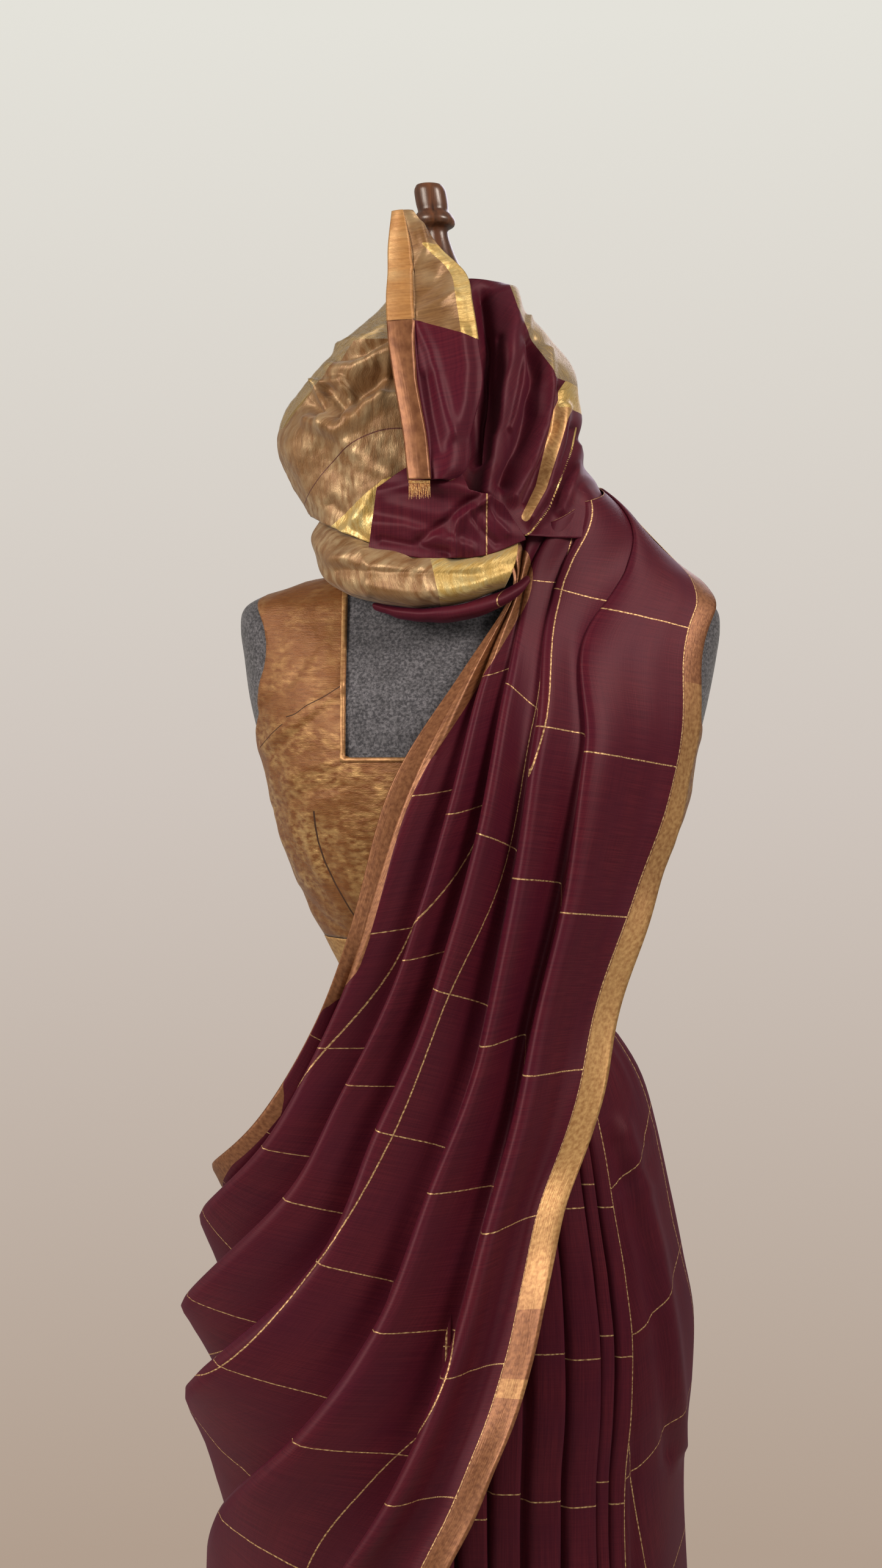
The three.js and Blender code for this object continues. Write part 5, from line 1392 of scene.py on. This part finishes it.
BORDER_HALF_MM = [(1452, 3.5), (1545, 7.0)]  # height, half of its width, which narrows as it turns away
THREAD_ON_LOOPS = [(90, 1533), (86, 1514), (79, 1495), (66, 1462), (50, 1440), (41, 1433)]
GOLD_ON_LOOPS = {"x": 74, "slant": 0.7, "heights": (1547, 1560, 1570)}
SHEER_ON_LOOPS = [(1546, 80), (1575, 70), (1606, 50), (1628, 41), (1655, 34)]  # height, x of its left edge
SHEER_FROM_MM = 1569
THREAD_HALF_MM = 0.7
LOOP_TILT = 0.75
PLAIN_M = 0.053
loop_points = collar(
    LOOPS, LOOP_TURNS, first=-7, last=155, columns=205, steps=155, folds=5, fold_mm=2.5, slant=-0.5,
    bottom=None,
)
loop_points = creased(loop_points, LOOP_CREASES)
loop_points = pushed(loop_points, blotches(loop_points, 28, 91) * 0.6)
loop_uv = soft_uv(loop_points, tilt=LOOP_TILT)
to_and_fro = np.arcsin(np.sin(loop_uv * math.pi / (2 * PLAIN_M))) * 2 / math.pi
loop_uv = CHECK_M / 2 + PLAIN_M * to_and_fro  # it stays in one plain square, so no check thread crosses it
loop_uv[..., 1] += FIRST_CHECK_M
loop_cloth = grid_cloth(loop_points, loop_uv)


def border_on_loops(points):
    within = np.interp(points[..., 2], *np.array(BORDER_HALF_MM).T) - distance_to_line(points, BORDER_ON_LOOPS)
    return np.where(points[..., 1] < 0, within, AWAY_MM)


def gold_on_loops(points):
    low, bend, high = GOLD_ON_LOOPS["heights"]
    edge = GOLD_ON_LOOPS["x"] + GOLD_ON_LOOPS["slant"] * np.clip(points[..., 2] - bend, 0, None)
    right = points[..., 0] - edge
    between = np.minimum(points[..., 2] - low, high - points[..., 2])
    return np.where(points[..., 1] < 20, np.minimum(right, between), AWAY_MM)


def sheer_on_loops(points):
    edge = np.interp(points[..., 2], *np.array(SHEER_ON_LOOPS).T)
    return np.where(points[..., 2] > SHEER_FROM_MM, points[..., 0] - edge, AWAY_MM)


def thread_on_loops(points):
    within = THREAD_HALF_MM - distance_to_line(points, THREAD_ON_LOOPS)
    return np.where(points[..., 1] < 10, within, AWAY_MM)


loop_cloth = cut(loop_cloth, thread_on_loops, zone=2)
loop_cloth = cut(loop_cloth, border_on_loops, zone=1)
loop_cloth = cut(loop_cloth, gold_on_loops, zone=2)
loop_cloth = cut(loop_cloth, sheer_on_loops, zone=3)
loop_materials = [maroon_silk, zari_border, bright_zari, sheer_tissue]
loops = cloth_object("neck_right_loops_cloth", loop_cloth, loop_materials, NECK_THICKNESS_MM)
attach(loops, "root")
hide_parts("neck_right_loops")

TUCK_TURNS = [-42, -10, 24]
TUCK = [  # height, then how far out the cloth lies at each of those turns
    (1494, 119, 113, 104), (1478, 124, 120, 110), (1455, 125, 121, 112), (1436, 124, 119, 111),
    (1416, 123, 116, 110),
]
TUCK_SINK_MM = 1.9
TUCK_CREASES = [  # width, rise, line through (x, height)
    (3.5, 4.0, [(16, 1466), (4, 1455), (-8, 1446), (-12, 1432), (-10, 1418)]),
    (3.5, -4.0, [(8, 1464), (-6, 1456), (-18, 1444), (-40, 1430)]),
    (5.0, 3.0, [(-78, 1446), (-50, 1442), (-22, 1432), (0, 1424)]),
    (3.5, -3.0, [(-70, 1432), (-44, 1426), (-16, 1420)]),
    (5.0, 3.0, [(-70, 1470), (-40, 1474), (-10, 1472), (14, 1464)]),
    (3.0, 3.0, [(12, 1462), (20, 1446), (30, 1436)]),
    (3.0, -2.5, [(2, 1450), (10, 1438), (22, 1428)]),
]
TUCK_TOP = [  # x, height of the edge that shows
    (-84, 1468), (-72, 1474), (-50, 1488), (-20, 1494), (-8, 1489), (0, 1469), (17, 1465), (27, 1460),
    (38, 1444), (46, 1432),
]
TUCK_LEFT_MM = -80  # its left end, at the height of the roll, and how fast that leans to the right going up
TUCK_LEFT_LEAN = 0.14


def tuck_foot(turn):
    return roll_top(turn) - TUCK_SINK_MM


def below_tuck_top(points):
    return np.interp(points[..., 0], *np.array(TUCK_TOP).T) - points[..., 2]


def right_of_tuck_end(points):
    return points[..., 0] - TUCK_LEFT_MM - (points[..., 2] - 1424) * TUCK_LEFT_LEAN


tuck_points = collar(
    TUCK, TUCK_TURNS, first=-42, last=24, columns=110, steps=80, folds=3, fold_mm=3, slant=0.5,
    bottom=tuck_foot,
)
tuck_points = creased(tuck_points, TUCK_CREASES)
tuck_uv = soft_uv(tuck_points)
tuck_uv[..., 0] = (tuck_points[..., 0] - 14) * MM
tuck_uv[..., 1] += 0.02
tuck_cloth = cut(grid_cloth(tuck_points, tuck_uv), below_tuck_top, keep=True)
tuck_cloth = cut(tuck_cloth, right_of_tuck_end, keep=True)
tuck = cloth_object("neck_centre_tuck_cloth", tuck_cloth, [maroon_silk], NECK_THICKNESS_MM)
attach(tuck, "root")
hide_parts("neck_centre_tuck")

# ---------------------------------------------------------------------------
# The loose end
# An upright fin of the end piece in front of the neck: its selvedge border folded in along the left, tissue
# above, a bright stripe at its edge, maroon below, and the cut end of the border frayed into a short fringe.
# ---------------------------------------------------------------------------
FIN = [  # height, left edge, fold, right edge, out from the middle
    (1705, -62, -53, -45, 58), (1674, -65, -47, -23, 66), (1652, -65, -46, -2, 74), (1627, -66, -45, 3, 88),
    (1591, -64, -44, 8, 100), (1556, -59, -41, 11, 109), (1514, -52, -33, 1, 121), (1486, -49, -31, -2, 129),
    (1476, -48, -30, -14, 130),
]
FIN_BULGE_MM = 7
FIN_CURL_MM = 9  # how far its right edge curls back
FIN_RIPPLE_MM = 0.8
FIN_STRIPE_MM = 13.5  # the bright stripe inside its right edge, up to FIN_STRIPE_TOP_MM
FIN_STRIPE_TOP_MM = 1676
FIN_JOIN = {"x": -45, "height": 1608, "slant": 0.28}  # where tissue and maroon meet, falling to the right
FIN_CREASES = [  # width, rise, line through (x, height)
    (5.0, 3.5, [(-40, 1605), (-30, 1580), (-22, 1545), (-14, 1512)]),
    (6.0, -3.5, [(-34, 1560), (-30, 1530), (-24, 1500)]),
    (6.0, 2.5, [(-6, 1600), (-2, 1570), (-4, 1540), (-10, 1515)]),
    (3.5, 2.0, [(-44, 1655), (-34, 1672), (-38, 1692)]),
    (3.5, 2.2, [(-40, 1614), (-24, 1622), (-12, 1632)]),
    (4.0, -2.0, [(-38, 1630), (-26, 1640), (-16, 1655)]),
]
heights = np.linspace(FIN[0][0], FIN[-1][0], 150)
left, folded, right, out_mm = read_table(FIN, heights).T[:, :, None]
strip = np.linspace(0, 0.94, 14)[None, :]
panel = np.linspace(0.04, 1, 46)[None, :]
strip_x = left + (folded - left) * strip
panel_x = folded + (right - folded) * panel
strip_back = 5 * (1 - strip) ** 2 + 0 * left
fullness = np.clip((1712 - heights[:, None]) / 60, 0.15, 1)
bulge = FIN_BULGE_MM * (1 - np.sin(math.pi * np.minimum(panel, 0.9) * 0.75 + 0.3))
panel_back = (bulge + FIN_CURL_MM * panel**3) * fullness
level = heights[:, None] + np.zeros((1, strip.shape[1] + panel.shape[1]))
fin_x = np.concatenate([strip_x, panel_x], axis=1)
fin_back = np.concatenate([strip_back, panel_back], axis=1)
fin_points = np.stack([fin_x, -(out_mm - fin_back), level], axis=-1)
fin_points = creased(fin_points, FIN_CREASES)
ripple = FIN_RIPPLE_MM * np.sin(fin_points[..., 2] / 17)
fin_points[..., 1] += ripple * np.clip(-fin_points[..., 0] / 60, 0, 1)
folded_in = np.where(np.arange(fin_points.shape[1]) < strip.shape[1], 1.0, -1.0)
folded_in = folded_in[None, :, None] + 0 * fin_points[..., :1]
fin_uv = np.concatenate([soft_uv(fin_points) * 0.45 + [0.008, FIRST_CHECK_M + 0.01], folded_in], axis=-1)
fin_cloth = grid_cloth(fin_points, fin_uv)


def below_join(points):
    falls = np.minimum(0, (FIN_JOIN["x"] - points[..., 0]) * FIN_JOIN["slant"])
    return FIN_JOIN["height"] + falls - points[..., 2]


def border_below_join(points):
    return np.minimum(below_join(points), fin_cloth["uv"][:, 2])


def selvedge_above_join(points):
    return np.minimum(-below_join(points), fin_cloth["uv"][:, 2])


def stripe_on_fin(points):
    from_edge = points[..., 0] + FIN_STRIPE_MM - read_table(FIN, points[..., 2])[..., 2]
    return np.minimum.reduce([-below_join(points), from_edge, FIN_STRIPE_TOP_MM - points[..., 2]])


# The border below the join is the shaded copper: painted shade.
fin_zones = [(below_join, 1), (border_below_join, 2), (selvedge_above_join, 4), (stripe_on_fin, 3)]
for region, number in fin_zones:
    fin_cloth = cut(fin_cloth, region, zone=number)
fin_materials = [gold_tissue, maroon_silk, shaded_copper_border, bright_zari, selvedge_tissue]
fin = cloth_object("neck_fin_cloth", fin_cloth, fin_materials, NECK_THICKNESS_MM)
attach(fin, "root")
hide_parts("neck_fin")

# The fringe: the border's zari warps where the weft has come out, each thread tapered and a little curled.
FRINGE_MM = {
    "from": -47.4, "to": -30.6, "out": 127, "top": 1475.3, "strip": 2.2, "strip_thick": 0.9, "length": 15,
    "thick": 0.45,
}
FRINGE_THREADS = 46
THREAD_CORNERS = (0, 2.094, 4.189)  # a third of a turn apart
fringe_width = FRINGE_MM["to"] - FRINGE_MM["from"]
draw = np.random.default_rng(97)
strands = bmesh.new()
for number in range(FRINGE_THREADS):
    x = FRINGE_MM["from"] + 0.4 + (fringe_width - 0.8) * number / (FRINGE_THREADS - 1)
    long = FRINGE_MM["length"] * draw.uniform(0.62, 1.0)
    swing, curl = draw.normal(0, 0.55), draw.normal(0, 0.25)
    ring_before = None
    for step in np.linspace(0, 1, 6):
        centre = np.array([
            x + swing * step + curl * math.sin(step * 5),
            -FRINGE_MM["out"] + curl * step,
            FRINGE_MM["top"] - long * step,
        ])
        radius = FRINGE_MM["thick"] / 2 * (1 - 0.45 * step)
        corners = [centre + radius * np.array([math.cos(a), math.sin(a), 0]) for a in THREAD_CORNERS]
        ring = [strands.verts.new(corner * MM) for corner in corners]
        if ring_before:
            for a in range(3):
                strands.faces.new((ring_before[a], ring_before[(a + 1) % 3], ring[(a + 1) % 3], ring[a]))
        else:
            strands.faces.new(ring)
        ring_before = ring
    strands.faces.new(ring_before[::-1])
for vertex in bmesh.ops.create_cube(strands, size=1)["verts"]:  # the woven strip that holds the threads
    x, y, z = vertex.co
    vertex.co.x = (x * fringe_width + (FRINGE_MM["to"] + FRINGE_MM["from"]) / 2) * MM
    vertex.co.y = (y * FRINGE_MM["strip_thick"] - FRINGE_MM["out"]) * MM
    vertex.co.z = (z * FRINGE_MM["strip"] + FRINGE_MM["top"] - FRINGE_MM["strip"] / 2) * MM
bmesh.ops.recalc_face_normals(strands, faces=strands.faces)
fringe_mesh = bpy.data.meshes.new("neck_fringe_threads")
strands.to_mesh(fringe_mesh)
strands.free()
# Zari thread, frayed: copper wire wound on silk, so its gleam is broken every millimetre.
zari_thread, tree, out = new_material("frayed_zari_thread")
place = add_node(tree, "ShaderNodeTexCoord").outputs["Object"]
twist = add_node(tree, "ShaderNodeTexNoise", {}, {"Vector": place, "Scale": 900.0})
tone = add_node(tree, "ShaderNodeValToRGB", {}, {0: twist.outputs[0]}, stops=shades("#b57b45", "#e3b87a"))
shade = add_node(
    tree, "ShaderNodeBsdfPrincipled", {}, {"Base Color": tone.outputs[0], "Roughness": 0.42, "Metallic": 0.35}
)
tree.links.new(shade.outputs[0], out.inputs[0])
fringe_mesh.materials.append(zari_thread)
fringe = bpy.data.objects.new("neck_fringe_threads", fringe_mesh)
scene.collection.objects.link(fringe)
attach(fringe, "root")
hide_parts("neck_fringe")
